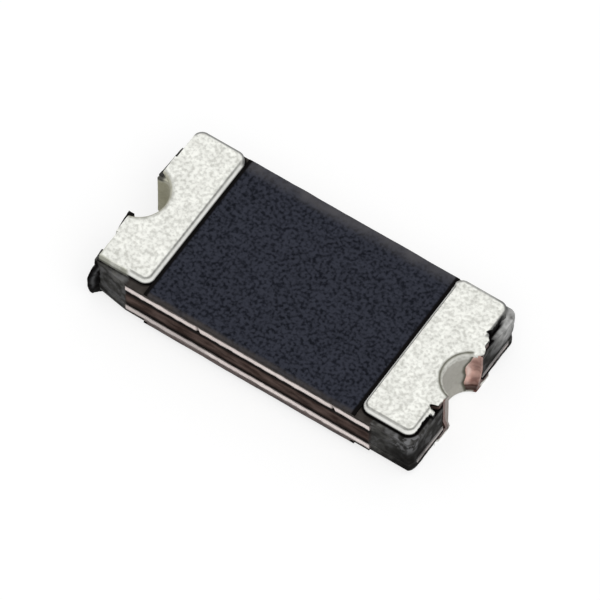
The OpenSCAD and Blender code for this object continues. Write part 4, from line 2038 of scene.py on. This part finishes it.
@dataclass
class Studio:
    """The floor, the lamp, the surrounding light and the camera."""

    azimuth: float = 33.8
    elevation: float = 59.0
    target: tuple[float, float, float] = (-0.0388 * MM, 0.0, 0.276 * MM)
    frame_width: float = 5.038 * MM
    half_angle: float = 1.5
    sensor: float = 36.0
    clip_factor: float = 10.0
    floor_size: float = 0.3
    floor_level: float = -0.003 * MM
    floor_grey: float = 0.32
    floor_glow: float = 0.71
    sky: float = 0.62
    key_strength: float = 1.2
    key_angle: float = 60.0
    key_from: tuple[float, float, float] = (0.45, -0.25, 1.0)

    def background_rays(self, sheet: NodeSheet) -> Any:
        """Return a socket that is 1 for rays that show the background and 0 for others."""
        path = sheet.add("ShaderNodeLightPath").outputs
        seen = sheet.math("MAXIMUM", path["Is Camera Ray"], path["Is Glossy Ray"])
        return sheet.math("MAXIMUM", seen, path["Is Transmission Ray"])

    def build_floor(self) -> None:
        """Lay a pale floor that looks white and still takes the chip's shadow."""
        half, level = self.floor_size / 2, self.floor_level
        mesh = bpy.data.meshes.new("floor")
        corners = ((-half, -half), (half, -half), (half, half), (-half, half))
        mesh.from_pydata([(x, y, level) for x, y in corners], [], [(0, 1, 2, 3)])
        floor = bpy.data.objects.new("floor", mesh)
        bpy.context.scene.collection.objects.link(floor)
        material = bpy.data.materials.new("pale_floor")
        material.use_nodes = True
        sheet = NodeSheet(material.node_tree)
        grey = opaque((self.floor_grey, self.floor_grey, self.floor_grey))
        matte = sheet.add("ShaderNodeBsdfDiffuse", {"Color": grey}).outputs["BSDF"]
        strength = sheet.math("MULTIPLY", self.background_rays(sheet), self.floor_glow)
        glow = sheet.add("ShaderNodeEmission", {"Strength": strength}).outputs["Emission"]
        both = sheet.add("ShaderNodeAddShader", {0: matte, 1: glow}).outputs["Shader"]
        sheet.add("ShaderNodeOutputMaterial", {"Surface": both})
        mesh.materials.append(material)

    def build_light(self) -> None:
        """Set an even sky, white to the camera, and one broad lamp from the right."""
        world = bpy.data.worlds.new("studio")
        world.use_nodes = True
        sheet = NodeSheet(world.node_tree)
        extra = sheet.math("MULTIPLY", self.background_rays(sheet), 1 - self.sky)
        strength = sheet.math("ADD", extra, self.sky)
        sky = sheet.add("ShaderNodeBackground", {"Color": opaque((1, 1, 1)), "Strength": strength})
        sheet.add("ShaderNodeOutputWorld", {"Surface": sky.outputs["Background"]})
        bpy.context.scene.world = world
        lamp = bpy.data.lights.new("key", "SUN")
        lamp.energy = self.key_strength
        lamp.angle = math.radians(self.key_angle)
        key = bpy.data.objects.new("key", lamp)
        key.rotation_mode = "QUATERNION"
        key.rotation_quaternion = (-Vector(self.key_from)).to_track_quat("-Z", "Y")
        bpy.context.scene.collection.objects.link(key)

    def build_camera(self) -> None:
        """Aim a long lens at the chip from the photograph's direction."""
        turn, rise = math.radians(self.azimuth), math.radians(self.elevation)
        level = math.cos(rise)
        back = Vector((math.sin(turn) * level, -math.cos(turn) * level, math.sin(rise)))
        half = math.radians(self.half_angle)
        distance = self.frame_width / 2 / math.tan(half)
        data = bpy.data.cameras.new("camera")
        data.sensor_width = self.sensor
        data.lens = self.sensor / 2 / math.tan(half)
        data.clip_start = distance / self.clip_factor
        data.clip_end = distance * self.clip_factor
        camera = bpy.data.objects.new("camera", data)
        camera.location = Vector(self.target) + back * distance
        camera.rotation_mode = "QUATERNION"
        camera.rotation_quaternion = (-back).to_track_quat("-Z", "Y")
        bpy.context.scene.collection.objects.link(camera)
        bpy.context.scene.camera = camera

    def build(self) -> None:
        """Build the whole studio."""
        bpy.context.scene.view_settings.view_transform = "Standard"
        self.build_floor()
        self.build_light()
        self.build_camera()
        LOG.info("studio: floor, key lamp, sky and camera")


def main() -> None:
    """Build the studio and the fuse, piece by piece."""
    logging.basicConfig(level=logging.INFO)
    Studio().build()
    plan = ChipPlan.from_frame()
    stub = Stub(plan)
    groups = {"grain": grain_group(), "cut_streaks": streak_group()}
    materials = {finish.slot: finish.material(groups) for finish in FINISHES}
    left = Terminal(
        plan, End.LEFT, margin=0.01 * MM, ragged=0.003 * MM,
        wall_shade_tint=(WALL_SHADE_OLIVE, 0.8), outer_corner=(0.005 * MM, 0.09 * MM),
        jamb_swell=0.055 * MM, ring=0.3, far_rim=0.03 * MM, far_rim_shade=0.95,
    )
    right = Terminal(
        plan, End.RIGHT, margin=0.035 * MM, ragged=0.01 * MM,
        wall_shade_tint=(WALL_SHADE_GREY, 0.85), bare_angles=(47.0, 64.0),
        coat_swell=0.03 * MM, lip=0.028 * MM, lip_shade=0.3, wall_top_shade=0.35, ring=0.9,
        tears=(
            Tear(y=-0.395 * MM, width=0.028 * MM, depth=0.075 * MM),
            Tear(y=0.45 * MM, width=0.05 * MM, depth=0.03 * MM),
            Tear(y=0.285 * MM, width=0.05 * MM, depth=-0.03 * MM),
        ),
    )
    lands = {terminal.end: terminal.outline for terminal in (left, right)}
    burrs = (
        Burr(middle=-0.31 * MM, length=0.2 * MM, reach=0.028 * MM),
        Burr(middle=0.39 * MM, length=0.33 * MM, reach=0.016 * MM),
        Burr(middle=-0.7 * MM, length=0.12 * MM, reach=0.01 * MM, drop=0.02 * MM),
    )
    parts = [
        PolymerCore(plan, stub),
        Electrode(plan, Face.UPPER, End.LEFT, nicks=(-0.53 * MM, 0.83 * MM)),
        Electrode(plan, Face.LOWER, End.RIGHT, dim_until=-0.5 * MM),
        Insulation(plan, Face.UPPER, stub, lands, burrs),
        Insulation(plan, Face.LOWER, stub, lands),
        MaskCoat(plan, Face.UPPER),
        MaskCoat(
            # Its brown near edge is painted lighter, as painted light against the shade near the
            # floor.
            plan, Face.LOWER, edge_radius=0.004 * MM, overhang=0.01 * MM, near_colour=LIT_LOW_BROWN
        ),
        left,
        right,
    ]
    for part in parts:
        part.dress(part.build(), materials)


if __name__ == "__main__":
    main()
